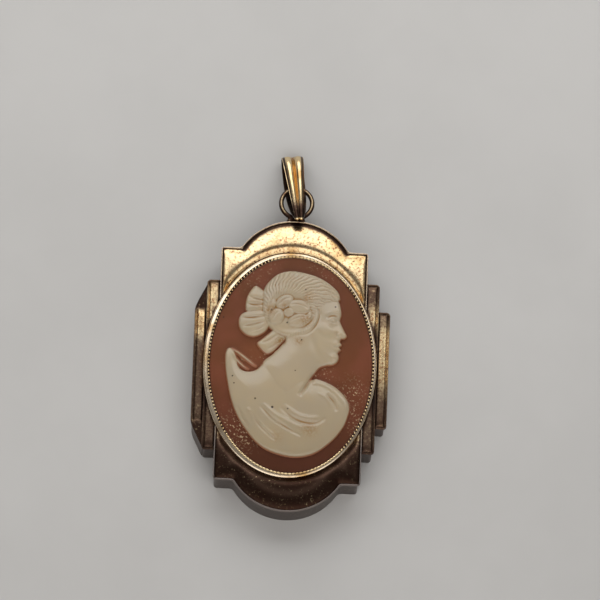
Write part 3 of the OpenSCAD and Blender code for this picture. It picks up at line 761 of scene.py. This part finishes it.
class PENDANT_OT_beads(bpy.types.Operator):
    """Row of milled beads along the bezel's lip"""
    bl_idname = "pendant.beads"
    bl_label = "Milled beads"

    # Stretches that are worn smooth. Columns: middle in degrees from +X, half length in degrees
    WORN = [(79.5, 21.5), (-94.0, 35.0)]

    def execute(self, context):
        s = sizes()
        gold = worn_gold("rolled gold, milled", colour("gold"), 0.18, -0.1)
        middle = s["bead_size"] / 2 + 0.04 - s["bezel_lip"]
        line = oval_ring(STONE_A, STONE_B, middle, BEZEL_HIGH[2] - 0.115, 720) * MM
        curve = bpy.data.curves.new("bead line", "CURVE")
        curve.dimensions = "3D"
        spline = curve.splines.new("POLY")
        spline.points.add(len(line) - 1)
        spline.points.foreach_set("co", np.column_stack([line, np.ones(len(line))]).ravel())
        spline.use_cyclic_u = True
        path = bpy.data.objects.new("bead line", curve)
        context.scene.collection.objects.link(path)
        tree = self.bead_tree(gold)
        modifier = path.modifiers.new("beads", "NODES")
        modifier.node_group = tree
        wanted = {"Pitch": s["bead_pitch"] * MM, "Size": s["bead_size"] * MM}
        for item in tree.interface.items_tree:
            if item.name in wanted:
                modifier[item.identifier] = wanted[item.name]
        graph = context.evaluated_depsgraph_get()
        mesh = bpy.data.meshes.new_from_object(path.evaluated_get(graph))
        path.modifiers.clear()
        bpy.data.objects.remove(path)
        mesh.shade_smooth()
        beads = bpy.data.objects.new("milled_beads", mesh)
        context.scene.collection.objects.link(beads)
        if not len(mesh.polygons):
            raise RuntimeError("the bead row came out empty")
        finish_piece(beads, PENDANT, "bezel_metal")
        return {"FINISHED"}

    def bead_tree(self, material):
        """Beads set along the line at one pitch, pressed flat where the edge is worn."""
        tree = bpy.data.node_groups.new("milled beads", "GeometryNodeTree")
        for name, way, kind in (("Geometry", "INPUT", "Geometry"), ("Pitch", "INPUT", "Float"),
                                ("Size", "INPUT", "Float"), ("Geometry", "OUTPUT", "Geometry")):
            tree.interface.new_socket(name, in_out=way, socket_type="NodeSocket" + kind)
        add = partial(node, tree)
        start = add("NodeGroupInput").outputs
        spots = add("GeometryNodeCurveToPoints", {"Curve": start["Geometry"], "Length": start["Pitch"]},
                    mode="LENGTH")
        radius = add(MATH, (start["Size"], 0.5), operation="MULTIPLY")
        bead = add("GeometryNodeMeshIcoSphere", {"Radius": radius, "Subdivisions": 3})
        # Where the edge is worn smooth, at the top and bottom, the beads are drawn out until they merge.
        place = add("ShaderNodeSeparateXYZ", {"Vector": add("GeometryNodeInputPosition")}).outputs
        angle = add(MATH, (place["Y"], place["X"]), operation="ARCTAN2")
        worn = 0.0
        for middle, half in self.WORN:
            away = add(MATH, (angle, math.radians(middle)), operation="SUBTRACT")
            away = add(MATH, (away,), operation="ABSOLUTE")
            ends = math.radians(half + 2), math.radians(half - 2)
            near = add(RANGE, (away, *ends), interpolation_type="LINEAR")
            worn = add(MATH, (worn, near), operation="MAXIMUM")
        longer = add(MATH, (worn, 1.1, 1.0), operation="MULTIPLY_ADD")
        lower = add(MATH, (worn, -0.25, 0.95), operation="MULTIPLY_ADD")
        turned = add("FunctionNodeAlignRotationToVector", {"Vector": spots.outputs["Tangent"]}, axis="X")
        copies = add("GeometryNodeInstanceOnPoints",
                     {"Points": spots, "Instance": bead, "Rotation": turned,
                      "Scale": add("ShaderNodeCombineXYZ", (longer, 1.0, lower))})
        real = add("GeometryNodeRealizeInstances", {"Geometry": copies})
        dressed = add("GeometryNodeSetMaterial", {"Geometry": real, "Material": material})
        add("NodeGroupOutput", {"Geometry": dressed})
        return tree


# Carving of the figure. All places are millimetres from the stone's middle, and heights are above the ground.

BODY = [(-2.0, 1.05), (-1.4, 1.6), (0.4, 1.8), (2.0, 0.4), (2.1, -1.0), (2.35, -1.62), (3.1, -1.62), (4.6, -2.2),
        (5.85, -3.3), (6.4, -4.4), (6.25, -5.6), (5.7, -7.0), (4.5, -8.55), (2.6, -10.0), (0.2, -10.4),
        (-2.7, -9.5), (-4.75, -7.35), (-6.05, -4.9), (-6.8, -1.9), (-7.05, 0.2), (-6.95, 1.3), (-6.5, 1.6),
        (-6.0, 0.9), (-5.75, 0.0), (-5.45, -0.65), (-4.8, -1.0), (-3.8, -0.85), (-2.9, 0.05)]
HEAD = [(0.0, 9.0), (2.2, 9.4), (3.7, 8.9), (4.5, 8.0), (4.95, 7.2), (5.15, 6.4), (5.2, 5.8), (5.08, 5.2),
        (5.3, 4.6), (5.62, 3.95), (5.84, 3.5), (5.66, 3.2), (5.24, 3.06), (5.14, 2.76), (5.36, 2.44), (5.1, 2.16),
        (5.26, 1.86), (4.95, 1.5), (5.08, 1.05), (4.94, 0.5), (4.45, 0.12), (3.7, -0.02), (3.0, -0.35),
        (2.45, -1.15), (1.9, -2.3), (1.2, -3.6), (-0.4, -4.6), (-2.6, -3.0), (-3.1, -0.2), (-2.0, 1.05),
        (-1.2, 2.0), (-0.7, 3.0), (-1.4, 6.0)]
HAIR = [(5.0, 7.75), (4.7, 8.5), (3.6, 9.45), (2.2, 10.15), (0.2, 10.55), (-1.0, 10.45), (-1.9, 10.05),
        (-2.65, 9.3), (-3.15, 8.5), (-3.35, 7.3), (-3.3, 5.8), (-2.9, 4.6), (-2.1, 3.7), (-0.9, 3.05),
        (0.4, 2.85), (1.4, 3.05), (2.1, 3.7), (2.5, 4.7), (2.95, 5.7), (3.6, 6.5), (4.3, 7.05), (4.85, 7.35)]
BOW_UPPER = [(-2.9, 7.9), (-3.3, 8.3), (-4.05, 8.75), (-4.6, 8.2), (-5.0, 7.3), (-5.1, 6.3), (-4.9, 5.7),
             (-3.9, 5.6), (-3.0, 5.9)]
BOW_LOWER = [(-2.9, 6.0), (-4.2, 5.9), (-5.3, 5.6), (-5.75, 4.9), (-5.65, 3.9), (-5.0, 3.15), (-4.1, 2.9),
             (-3.2, 3.25), (-2.6, 3.9), (-2.4, 4.9)]
BOW_TAIL = [(-1.4, 4.3), (-2.6, 3.3), (-3.2, 2.75), (-3.75, 2.2), (-3.3, 1.5), (-2.7, 1.0), (-2.1, 1.15),
            (-1.5, 1.75), (-0.3, 3.4)]
SHOULDER_ROLL = [(1.9, -2.4), (2.4, -1.65), (3.1, -1.6), (4.6, -2.2), (5.85, -3.3), (6.35, -4.4), (6.1, -5.2),
                 (5.3, -4.6), (4.4, -3.6), (3.3, -2.9), (2.4, -2.75)]

# The middle of the rosette, half the number of strands of hair that would go round it, their twist in radians
# for each millimetre away from it, their rise, and the share by which the hair is lower close to it
ROSETTE, STRANDS, STRAND_TWIST, STRAND_RISE, ROSETTE_HOLLOW = (-0.4, 5.6), 26, 0.18, 0.13, 0.24

# Rounded lumps. Columns: middle across, middle up, half length, half width, turn in degrees, height
LUMPS = [
    (-1.75, 5.15, 0.95, 0.8, 60, 1.0), (-0.95, 6.85, 1.05, 0.72, 35, 1.0), (0.65, 6.3, 1.25, 0.85, -10, 1.05),
    (0.55, 4.85, 1.15, 0.7, 20, 1.0), (-0.45, 5.65, 0.6, 0.5, 0, 1.06), (-2.35, 6.55, 0.75, 0.5, 75, 0.92),
    (1.75, 5.2, 0.7, 0.42, 70, 0.98),
]

# Strokes of the graver. Columns: points, half width, height added at its middle, negative where it cuts
STROKES = [
    ([(-6.5, 1.58), (-5.6, 1.0), (-4.6, 0.25), (-3.6, -0.5)], 0.16, 0.34),
    ([(-6.35, 1.3), (-5.9, 0.4), (-5.2, -0.35), (-4.4, -0.85)], 0.16, 0.3),
    ([(2.5, -0.9), (2.05, -1.75), (1.5, -2.75), (0.95, -3.7)], 0.2, -0.26),
    ([(-4.2, -5.6), (-3.3, -6.9), (-2.1, -8.1), (-1.3, -8.75)], 0.16, -0.2),
    ([(-4.5, -5.2), (-3.6, -6.5), (-2.4, -7.7), (-1.2, -8.6)], 0.2, 0.13),
    ([(-3.2, -4.9), (-1.8, -6.3), (-0.2, -7.3), (1.4, -8.2)], 0.16, -0.15),
    ([(-2.9, -4.7), (-1.5, -5.9), (0.2, -6.8), (1.6, -7.4)], 0.22, 0.1),
    ([(-1.0, -5.0), (0.3, -6.1), (1.6, -6.6), (2.9, -6.6), (3.9, -6.0)], 0.2, -0.17),
    ([(-0.6, -4.8), (0.8, -5.8), (2.0, -6.15), (3.2, -6.0)], 0.24, 0.09),
    ([(-5.6, -5.0), (-4.9, -6.4), (-4.1, -7.6)], 0.16, -0.1),
    ([(3.9, -3.3), (4.7, -4.2), (5.0, -5.2)], 0.16, -0.14),
    ([(3.0, -3.2), (4.0, -3.9), (4.5, -4.8)], 0.18, 0.07),
    ([(-4.85, 7.5), (-4.0, 7.2), (-3.1, 7.0)], 0.14, -0.2),
    ([(-5.0, 6.6), (-4.1, 6.5), (-3.1, 6.6)], 0.14, -0.2),
    ([(-5.5, 5.0), (-4.4, 5.0), (-3.0, 5.2)], 0.14, -0.2),
    ([(-5.3, 4.0), (-4.3, 4.2), (-3.0, 4.6)], 0.14, -0.2),
    ([(-4.7, 3.3), (-3.9, 3.6), (-2.9, 4.1)], 0.1, -0.1),
    ([(-3.2, 2.2), (-2.4, 2.6), (-1.6, 3.2)], 0.12, -0.1),
    ([(-2.6, 1.5), (-2.0, 1.9), (-1.3, 2.6)], 0.12, -0.08),
    ([(2.2, 6.7), (2.55, 5.7), (2.35, 4.6), (1.6, 3.75), (0.5, 3.4)], 0.14, 0.12),
    ([(1.75, 6.5), (2.05, 5.6), (1.85, 4.75), (1.2, 4.1), (0.3, 3.85)], 0.12, -0.14),
    ([(2.6, 6.5), (2.85, 5.6), (2.5, 4.4), (1.7, 3.4), (0.4, 3.05)], 0.1, -0.08),
]

# Cuts and swells that finish the face, in the same columns
FACE_STROKES = [
    ([(5.15, 5.72), (4.6, 5.95), (3.9, 5.85), (3.4, 5.55)], 0.2, 0.07),
    ([(4.95, 5.1), (4.55, 5.33), (4.1, 5.25), (3.75, 4.95)], 0.1, 0.09),
    ([(4.95, 5.45), (4.5, 5.6), (4.0, 5.5), (3.6, 5.2)], 0.16, -0.1),
    ([(4.85, 4.75), (4.4, 4.62), (3.95, 4.75)], 0.09, 0.06),
    ([(4.8, 4.5), (4.3, 4.32), (3.8, 4.5)], 0.14, -0.05),
    ([(5.1, 2.16), (4.75, 2.2), (4.4, 2.12)], 0.09, -0.14),
    ([(5.25, 2.45), (4.85, 2.5), (4.5, 2.3)], 0.12, 0.05),
    ([(5.15, 1.85), (4.8, 1.82), (4.5, 2.0)], 0.12, 0.06),
    ([(4.95, 3.2), (4.75, 3.35), (4.72, 3.6), (4.9, 3.8)], 0.1, -0.1),
    ([(2.1, 3.4), (2.3, 2.2), (2.9, 1.0), (3.7, 0.35)], 0.34, -0.06),
]
FACE_LUMPS = [
    (4.35, 4.95, 0.36, 0.24, 0, 0.12), (5.1, 3.42, 0.3, 0.26, 0, 0.1), (3.5, 3.9, 1.1, 0.8, -30, 0.07),
    (4.6, 0.85, 0.5, 0.4, 0, 0.06),
]

# Dirt specks in the shell. Columns: across, up, radius
SPECKS = [(-6.2, -1.7, 0.1), (-1.85, -5.1, 0.16), (-3.7, -4.2, 0.12), (1.0, 2.6, 0.1), (0.45, -0.9, 0.08),
          (-0.2, -5.2, 0.09), (-2.3, 5.9, 0.08), (-0.6, 4.5, 0.1), (1.25, 8.3, 0.09), (-7.35, 5.1, 0.1),
          (4.5, 6.6, 0.1), (-6.0, -2.5, 0.09)]

# Yellow-brown stains of the ivory. Columns: across, up, radius, strength
STAINS = [(-2.4, 5.8, 0.5, 1.0), (1.6, 7.4, 0.6, 0.9), (1.4, 4.9, 0.7, 0.8), (0.7, 2.5, 0.45, 0.8),
          (-1.2, 2.5, 0.55, 0.9), (2.2, -7.3, 0.8, 0.6), (-0.9, 6.2, 0.4, 0.8), (-1.2, -8.3, 0.6, 0.3),
          (-3.7, 6.5, 0.6, 0.4)]

# Places where the brown layer is thin and more orange. Columns: across, up, radius, strength
GLOW = [(-6.6, 1.5, 3.4, 0.15), (5.6, 0.6, 2.8, 0.15), (-4.0, 1.0, 1.8, 0.4)]

# Chalky patches of the ground. Columns: across, up, radius, strength
CHALK = [(-5.6, -7.2, 1.6, 1.0), (-4.6, -8.4, 1.2, 0.9), (6.6, -2.6, 1.3, 1.0), (6.9, -4.6, 1.3, 0.8),
         (3.3, -1.2, 1.2, 0.7), (7.1, -6.2, 1.2, 0.6), (-5.9, 0.1, 0.9, 0.7), (-3.0, 0.6, 1.0, 0.4),
         (-4.6, 9.6, 1.2, 0.4), (3.0, 10.9, 1.6, 0.35), (-3.0, 11.0, 1.4, 0.3)]


def smooth_outline(points, steps=6):
    """Closed smooth curve through points."""
    p = np.array(points, float)
    a, b, c, d = (np.roll(p, k, 0)[:, None, :] for k in (1, 0, -1, -2))
    return curve_between(a, b, c, d, (np.arange(steps) / steps)[None, :, None]).reshape(-1, 2)


class Relief:
    """Height of the carving over a grid of places."""

    def __init__(self, x, y):
        self.at = np.column_stack([x.ravel(), y.ravel()])
        self.height = np.zeros(len(self.at))

    def near(self, low, high, margin):
        return np.all((self.at > low - margin) & (self.at < high + margin), axis=1)

    def inside(self, points):
        """Depth inside an outline, only worked out near it."""
        curve = smooth_outline(points)
        depth = np.full(len(self.at), -9.0)
        close = self.near(curve.min(0), curve.max(0), 0.3)
        depth[close] = distance_in(self.at[close], curve)
        return depth

    def block(self, points, top, edge, wall=0.35, step=0.09):
        """Raises a rounded block with a steep cut edge."""
        depth = self.inside(points)
        t = np.clip(depth / edge, 0, 1)
        shape = wall * smoothstep(0, step, depth) + (1 - wall) * np.sqrt(1 - (1 - t) ** 2)
        self.height = np.maximum(self.height, top * shape)
        return depth

    def lump(self, row, add=False):
        cx, cy, a, b, turn, height = row
        turn = math.radians(turn)
        dx, dy = self.at[:, 0] - cx, self.at[:, 1] - cy
        along = (dx * math.cos(turn) + dy * math.sin(turn)) / a
        across = (dy * math.cos(turn) - dx * math.sin(turn)) / b
        reach = np.clip(1 - along ** 2 - across ** 2, 0, 1)
        if add:
            self.height += height * smoothstep(0, 1, reach)
        else:
            foot = 0.66
            raised = foot + (height - foot) * np.sqrt(reach)
            self.height = np.where(reach > 0, np.maximum(self.height, raised), self.height)

    def stroke(self, points, half, add, taper=True):
        """A ridge or a cut along a smooth open line, fading out at its ends."""
        p = np.array(points, float)
        ends = np.concatenate([[2 * p[0] - p[1]], p, [2 * p[-1] - p[-2]]])
        t = (np.arange(8) / 8)[:, None]
        line = [curve_between(*four, t) for four in zip(ends, ends[1:], ends[2:], ends[3:])]
        line = np.concatenate(line + [p[-1:]])
        close = self.near(line.min(0), line.max(0), 3 * half)
        at = self.at[close]
        best, where = np.full(len(at), 1e9), np.zeros(len(at))
        count = len(line) - 1
        for k in range(count):
            a, d = line[k], line[k + 1] - line[k]
            u = np.clip(((at - a) @ d) / (d @ d), 0, 1)
            gap = np.linalg.norm(at - a - u[:, None] * d, axis=1)
            nearer = gap < best
            best = np.where(nearer, gap, best)
            where = np.where(nearer, (k + u) / count, where)
        fade = np.sin(np.clip(where, 0, 1) * math.pi) ** 0.6 if taper else 1.0
        shape = np.exp(-(best / half) ** 2) * fade
        self.height[close] += add * shape * (self.height[close] > 0.02 if add < 0 else 1)


def carve(x, y):
    """The whole figure: shoulders, head, hair, bow and drapery. Returns its height at each place."""
    r = Relief(x, y)
    r.block(BOW_TAIL, 0.36, 0.7)
    r.block(BOW_UPPER, 0.55, 0.9)
    r.block(BOW_LOWER, 0.58, 1.0)
    r.block(BODY, 0.68, 2.6, 0.3)
    r.block(HEAD, 0.74, 2.3, 0.3, 0.08)
    r.block(SHOULDER_ROLL, 0.62, 0.9, 0.3)
    for row in FACE_LUMPS:
        r.lump(row, add=True)
    for points, half, add in FACE_STROKES:
        r.stroke(points, half, add)
    depth = r.inside(HAIR)
    soft = np.sqrt(1 - (1 - np.clip(depth / 1.9, 0, 1)) ** 2)
    hair = 0.34 * smoothstep(0, 0.1, depth) + 0.56 * soft
    # The strands sweep back from the brow into the rosette, which stands in a hollow of its own.
    dx, dy = (r.at - ROSETTE).T
    away = np.hypot(dx, dy)
    swirl = np.arctan2(dy, dx) + STRAND_TWIST * away + 0.02 * np.sin(away * 5)
    strands = np.abs(np.sin(STRANDS * swirl)) ** 0.7
    hair *= 1 - ROSETTE_HOLLOW * (1 - smoothstep(1.7, 2.6, away))
    hair += (strands - 0.6) * STRAND_RISE * smoothstep(0.05, 0.4, depth) * smoothstep(2.0, 2.6, away)
    r.height = np.where(depth > 0, np.maximum(r.height, hair), r.height)
    for row in LUMPS:
        r.lump(row)
        # Each petal has a fold beside its middle.
        cx, cy, long, wide, turn, _ = row
        way = np.array([math.cos(math.radians(turn)), math.sin(math.radians(turn))])
        side = np.array([-way[1], way[0]]) * 0.3 * wide
        r.stroke([(cx, cy) - 0.8 * long * way, (cx, cy) + side, (cx, cy) + 0.8 * long * way], 0.1, -0.12)
    for points, half, add in STROKES:
        r.stroke(points, half, add)
    return np.maximum(r.height, 0)


def blurred(grid, passes):
    for _ in range(passes):
        padded = np.pad(grid, 1, mode="edge")
        grid = (padded[:-2, 1:-1] + padded[2:, 1:-1] + padded[1:-1, :-2] + padded[1:-1, 2:] + 4 * grid) / 8
    return grid


class PENDANT_OT_cameo(bpy.types.Operator):
    """Oval shell stone with its carved figure"""
    bl_idname = "pendant.cameo"
    bl_label = "Cameo"

    def execute(self, context):
        nu, nv = 256, 356
        edge_t, dome_rise, back_rise = 0.55, 0.3, 0.3
        v, u = np.meshgrid(np.linspace(-1, 1, nv + 1), np.linspace(-1, 1, nu + 1), indexing="ij")
        # A square grid is bent to fill the oval, so its outer cells run along the edge.
        sx, sy = u * np.sqrt(1 - v * v / 2), v * np.sqrt(1 - u * u / 2)
        x, y = STONE_A * sx, STONE_B * sy
        base_z = STONE_LOW[2]
        dome = dome_rise * np.clip(1 - sx ** 2 - sy ** 2, 0, 1)
        height = blurred(carve(x, y).reshape(x.shape), 1)
        z = np.minimum(base_z + edge_t + dome + height, STONE_HIGH[2])
        face = np.stack([x, y, z], -1).reshape(-1, 3)
        quads, rim = sheet_faces(nv + 1, nu + 1)
        count, start = len(rim), len(face)
        points, faces = [face], quads.tolist()
        previous = rim
        # The stone's back is slightly hollow.
        for share in (1.0, 0.66, 0.33):
            ring = face[rim] * (share, share, 0) + (0, 0, base_z + back_rise * (1 - share ** 2))
            here = start + np.arange(count)
            start += count
            points.append(ring)
            faces += np.stack([previous, here, np.roll(here, -1), np.roll(previous, -1)], -1).tolist()
            previous = here
        points.append([[0, 0, base_z + back_rise]])
        faces += np.stack([previous, np.full(count, start), np.roll(previous, -1)], -1).tolist()
        stone = mesh_object("cameo", np.concatenate(points), faces, carved_shell(), 60)
        self.mark(stone, height, x, y)
        finish_piece(stone, PENDANT, "carved_shell", "cameo")
        return {"FINISHED"}

    def mark(self, stone, height, x, y):
        """Stores what the finish follows: relief, recesses, patches, dirt specks and the darker foot."""
        spare = len(stone.data.vertices) - height.size
        marks = {"relief": height, "shade": smoothstep(0, 1, -y / 12.5) * 0.8}
        marks["recess"] = np.clip((blurred(height, 24) - height) * 13, 0, 1) * (height > 0.1)
        for name, patches in (("stain", STAINS), ("glow", GLOW), ("chalk", CHALK)):
            marks[name] = np.max([strength * np.exp(-((x - cx) ** 2 + (y - cy) ** 2) / radius ** 2)
                                  for cx, cy, radius, strength in patches], axis=0)
        marks["speck"] = np.max([1 - smoothstep(radius * 0.6, radius, np.hypot(x - cx, y - cy))
                                 for cx, cy, radius in SPECKS], axis=0)
        for name, values in marks.items():
            store(stone, name, np.concatenate([values.ravel(), np.zeros(spare)]))


class PENDANT_OT_bail(bpy.types.Operator):
    """Tapered loop with two ridges, hooked through the hanging ring"""
    bl_idname = "pendant.bail"
    bl_label = "Bail"

    def execute(self, context):
        s = sizes()
        steps, across, inner = 220, 41, 9
        t = np.arange(steps) * 2 * math.pi / steps
        reach = (s["bail_up"] + s["bail_down"] - s["bail_band"]) / 2
        lift = (s["bail_up"] - s["bail_down"]) / 2
        pinch = 0.5
        swell = (np.sin(t) * (1 + pinch * np.cos(t))).max()
        swing = s["bail_depth"] / 2 / swell
        y = lift + reach * np.cos(t)
        z = swing * np.sin(t) * (1 + pinch * np.cos(t))
        dy = -reach * np.sin(t)
        dz = swing * (np.cos(t) + pinch * np.cos(2 * t))
        normal = np.stack([dz, -dy], -1) / np.hypot(dz, dy)[:, None]
        # The back band keeps its width for longer than the front one.
        taper = np.where(t > math.pi, 4.0, 1.5)
        half = s["bail_top_w"] / 2 - (s["bail_top_w"] - s["bail_tip_w"]) / 2 * ((1 - np.cos(t)) / 2) ** taper
        turn = np.abs(np.where(t > math.pi, t - 2 * math.pi, t))
        ridge = s["bail_ridge"] * (0.6 + 0.4 * np.cos(t))
        p = np.linspace(1, -1, across)
        hump = np.sqrt(np.clip(1 - ((np.abs(p) - 0.5) / 0.42) ** 2, 0, 1))
        sunk = -0.02
        ridged = sunk + (s["bail_band"] / 2 - sunk + ridge[:, None]) * hump[None, :]
        # The top bend is plain but for a small notch, and the ridges rise below it.
        plain = s["bail_band"] / 2 * (1 - 0.6 * np.exp(-(p / 0.1) ** 2)) * np.sqrt(1 - np.abs(p) ** 6)
        outer_n = plain + (ridged - plain) * smoothstep(0.4, 0.62, turn)[:, None]
        outer_n = np.maximum(outer_n, 0.05 * (np.abs(p) > 0.95)[None, :])
        offs = np.tile(np.concatenate([p, np.linspace(-1, 1, inner)]), (steps, 1))
        lifts = np.concatenate([outer_n, np.full((steps, inner), -s["bail_band"] / 2)], 1)
        rings = np.stack([offs * half[:, None], y[:, None] + normal[:, :1] * lifts,
                          z[:, None] + normal[:, 1:] * lifts], -1)
        lean = math.atan2(SWING["axis"][1], SWING["axis"][0])
        place = (Matrix.Translation(Vector(PIVOT)) @ Matrix.Rotation(lean, 4, "Z")
                 @ Matrix.Rotation(-s["bail_droop"], 4, "X"))
        flat = rings.reshape(-1, 3) @ np.array(place.to_3x3()).T + PIVOT
        gold = worn_gold("rolled gold, bail", colour("gold"), 0.14, -0.06, ("hollow", "groove"))
        body = loft("bail", flat.reshape(rings.shape), gold, 60)
        hump = np.tile(np.concatenate([hump, np.zeros(inner)]), (steps, 1))
        # The band's inner faces are darkened fully, partly as tarnish and partly as painted shade.
        inside = np.arange(across + inner)[None, :] >= across
        # Painted shade on the steep flanks and on the front band's lower end, short of the tip, in place of their
        # dark reflections.
        flank = smoothstep(0.66, 0.86, np.abs(offs)) * (1 - smoothstep(0.93, 0.97, np.abs(offs)))
        fall = smoothstep(0.56, 0.84, turn / math.pi)[:, None]
        # Painted reflection: the groove is tinted deep orange, as by light bounced between its walls, fading out
        # down the band.
        groove = np.where(inside, 0, (np.abs(offs) < 0.3) * (1 - hump) * (1 - fall))
        tip = fall * (turn < 0.95 * math.pi)[:, None]
        store(body, "hollow", np.where(inside, 1.0, np.maximum(flank, tip) * 0.9).ravel())
        store(body, "groove", np.clip(groove, 0, 1).ravel())
        finish_piece(body, BAIL, "bail_metal", "bail")
        return {"FINISHED"}


class PENDANT_OT_stage(bpy.types.Operator):
    """Paper, camera and soft studio light"""
    bl_idname = "pendant.stage"
    bl_label = "Stage"

    # Where the middle of the stone falls in the 600 pixel picture, and how the pendant lies in it
    MIDDLE_PX = (291.0, 364.6)
    PX_PER_MM = 9.4
    PICTURE_PX = 600
    ELEVATION, AZIMUTH, CLOCKWISE = 70.0, -5.0, 2.15
    DISTANCE_MM = 1800.0
    SENSOR_MM = 36.0
    # The window stands beyond the bail.
    WINDOW_AT, WINDOW_MM, WINDOW_WATTS = (0, 140, 176), (430, 112), 0.30

    def execute(self, context):
        scene = context.scene
        scene.view_settings.view_transform = "Standard"
        self.camera(scene)
        self.paper(scene)
        self.lights(scene)
        return {"FINISHED"}

    def camera(self, scene):
        e, a = math.radians(self.ELEVATION), math.radians(self.AZIMUTH)
        back = Vector((math.sin(a) * math.cos(e), -math.cos(a) * math.cos(e), math.sin(e)))
        up = Vector((0, 1, 0))
        up = (up - up.dot(back) * back).normalized()
        up = Matrix.Rotation(math.radians(self.CLOCKWISE), 3, back) @ up
        right = up.cross(back)
        off = (Vector(self.MIDDLE_PX) - Vector((self.PICTURE_PX, self.PICTURE_PX)) / 2) / self.PX_PER_MM
        aim = Vector((0, 0, 4)) - off.x * right + off.y * up
        spot = aim + back * self.DISTANCE_MM
        data = bpy.data.cameras.new("camera")
        data.sensor_width = self.SENSOR_MM
        data.lens = self.PX_PER_MM * self.DISTANCE_MM * self.SENSOR_MM / self.PICTURE_PX
        data.clip_start, data.clip_end = 0.01, 10
        camera = bpy.data.objects.new("camera", data)
        basis = Matrix((right, up, back)).transposed().to_4x4()
        camera.matrix_world = Matrix.Translation(spot * MM) @ basis
        scene.collection.objects.link(camera)
        scene.camera = camera

    def paper(self, scene):
        low = min(CAD_BOUNDS[0][2], 0.0) if CAD_BOUNDS else 0.0
        half = 0.6
        mesh = bpy.data.meshes.new("paper")
        corners = [(-half, -half, low), (half, -half, low), (half, half, low), (-half, half, low)]
        mesh.from_pydata(corners, [], [(0, 1, 2, 3)])
        mesh.materials.append(plain_paper())
        floor = bpy.data.objects.new("paper", mesh)
        scene.collection.objects.link(floor)

    def lights(self, scene):
        data = bpy.data.lights.new("window", "AREA")
        data.shape, data.energy = "RECTANGLE", self.WINDOW_WATTS
        data.size, data.size_y = (side * MM for side in self.WINDOW_MM)
        lamp = bpy.data.objects.new("window", data)
        lamp.location = Vector(self.WINDOW_AT) * MM
        lamp.rotation_euler = (-lamp.location).to_track_quat("-Z", "Y").to_euler()
        scene.collection.objects.link(lamp)
        # A dim room, with soft light from the viewer's side
        world = bpy.data.worlds.new("room")
        world.use_nodes = True
        world.node_tree.nodes.clear()
        add = partial(node, world.node_tree)
        way = add("ShaderNodeSeparateXYZ", (add("ShaderNodeTexCoord").outputs["Generated"],)).outputs
        across = add(MATH, (way["X"],), operation="ABSOLUTE")
        front = add(MATH, (add(RANGE, (way["Y"], -0.28, -0.5)), add(RANGE, (way["Z"], 0.1, 0.35))),
                    operation="MULTIPLY")
        level = add(MATH, (front, 1.5, 0.2), operation="MULTIPLY_ADD")
        # The window's lower part, near the horizon
        back = add(MATH, (add(RANGE, (way["Y"], 0.78, 0.88)), add(RANGE, (across, 0.4, 0.24))),
                   operation="MULTIPLY")
        back = add(MATH, (back, add(RANGE, (way["Z"], 0.0, 0.08))), operation="MULTIPLY")
        level = add(MATH, (back, 2.2, level), operation="MULTIPLY_ADD")
        sky = add("ShaderNodeBackground", {"Color": rgba("#F4F1EE"), "Strength": level})
        add("ShaderNodeOutputWorld", {"Surface": sky})
        scene.world = world


class PENDANT_PT_panel(bpy.types.Panel):
    """Buttons that make each piece of the pendant"""
    bl_idname = "PENDANT_PT_panel"
    bl_label = "Cameo pendant"
    bl_space_type = "VIEW_3D"
    bl_region_type = "UI"
    bl_category = "Pendant"

    def draw(self, context):
        for operator in OPERATORS:
            self.layout.operator(operator.bl_idname)
        for group in (context.scene.pendant_sizes, context.scene.pendant_colours):
            for prop in group.bl_rna.properties:
                if prop.identifier not in ("rna_type", "name"):
                    self.layout.prop(group, prop.identifier)


OPERATORS = (PENDANT_OT_stage, PENDANT_OT_frame, PENDANT_OT_bezel, PENDANT_OT_beads, PENDANT_OT_cameo,
             PENDANT_OT_bail)
CLASSES = (PENDANT_PG_sizes, PENDANT_PG_colours, *OPERATORS, PENDANT_PT_panel)


def register():
    for cls in CLASSES:
        bpy.utils.register_class(cls)
    bpy.types.Scene.pendant_sizes = bpy.props.PointerProperty(type=PENDANT_PG_sizes)
    bpy.types.Scene.pendant_colours = bpy.props.PointerProperty(type=PENDANT_PG_colours)


def unregister():
    del bpy.types.Scene.pendant_colours
    del bpy.types.Scene.pendant_sizes
    for cls in reversed(CLASSES):
        bpy.utils.unregister_class(cls)


def main():
    register()
    bpy.ops.pendant.stage()
    bpy.ops.pendant.frame()
    bpy.ops.pendant.bezel()
    bpy.ops.pendant.beads()
    bpy.ops.pendant.cameo()
    bpy.ops.pendant.bail()


if __name__ == "__main__":
    main()
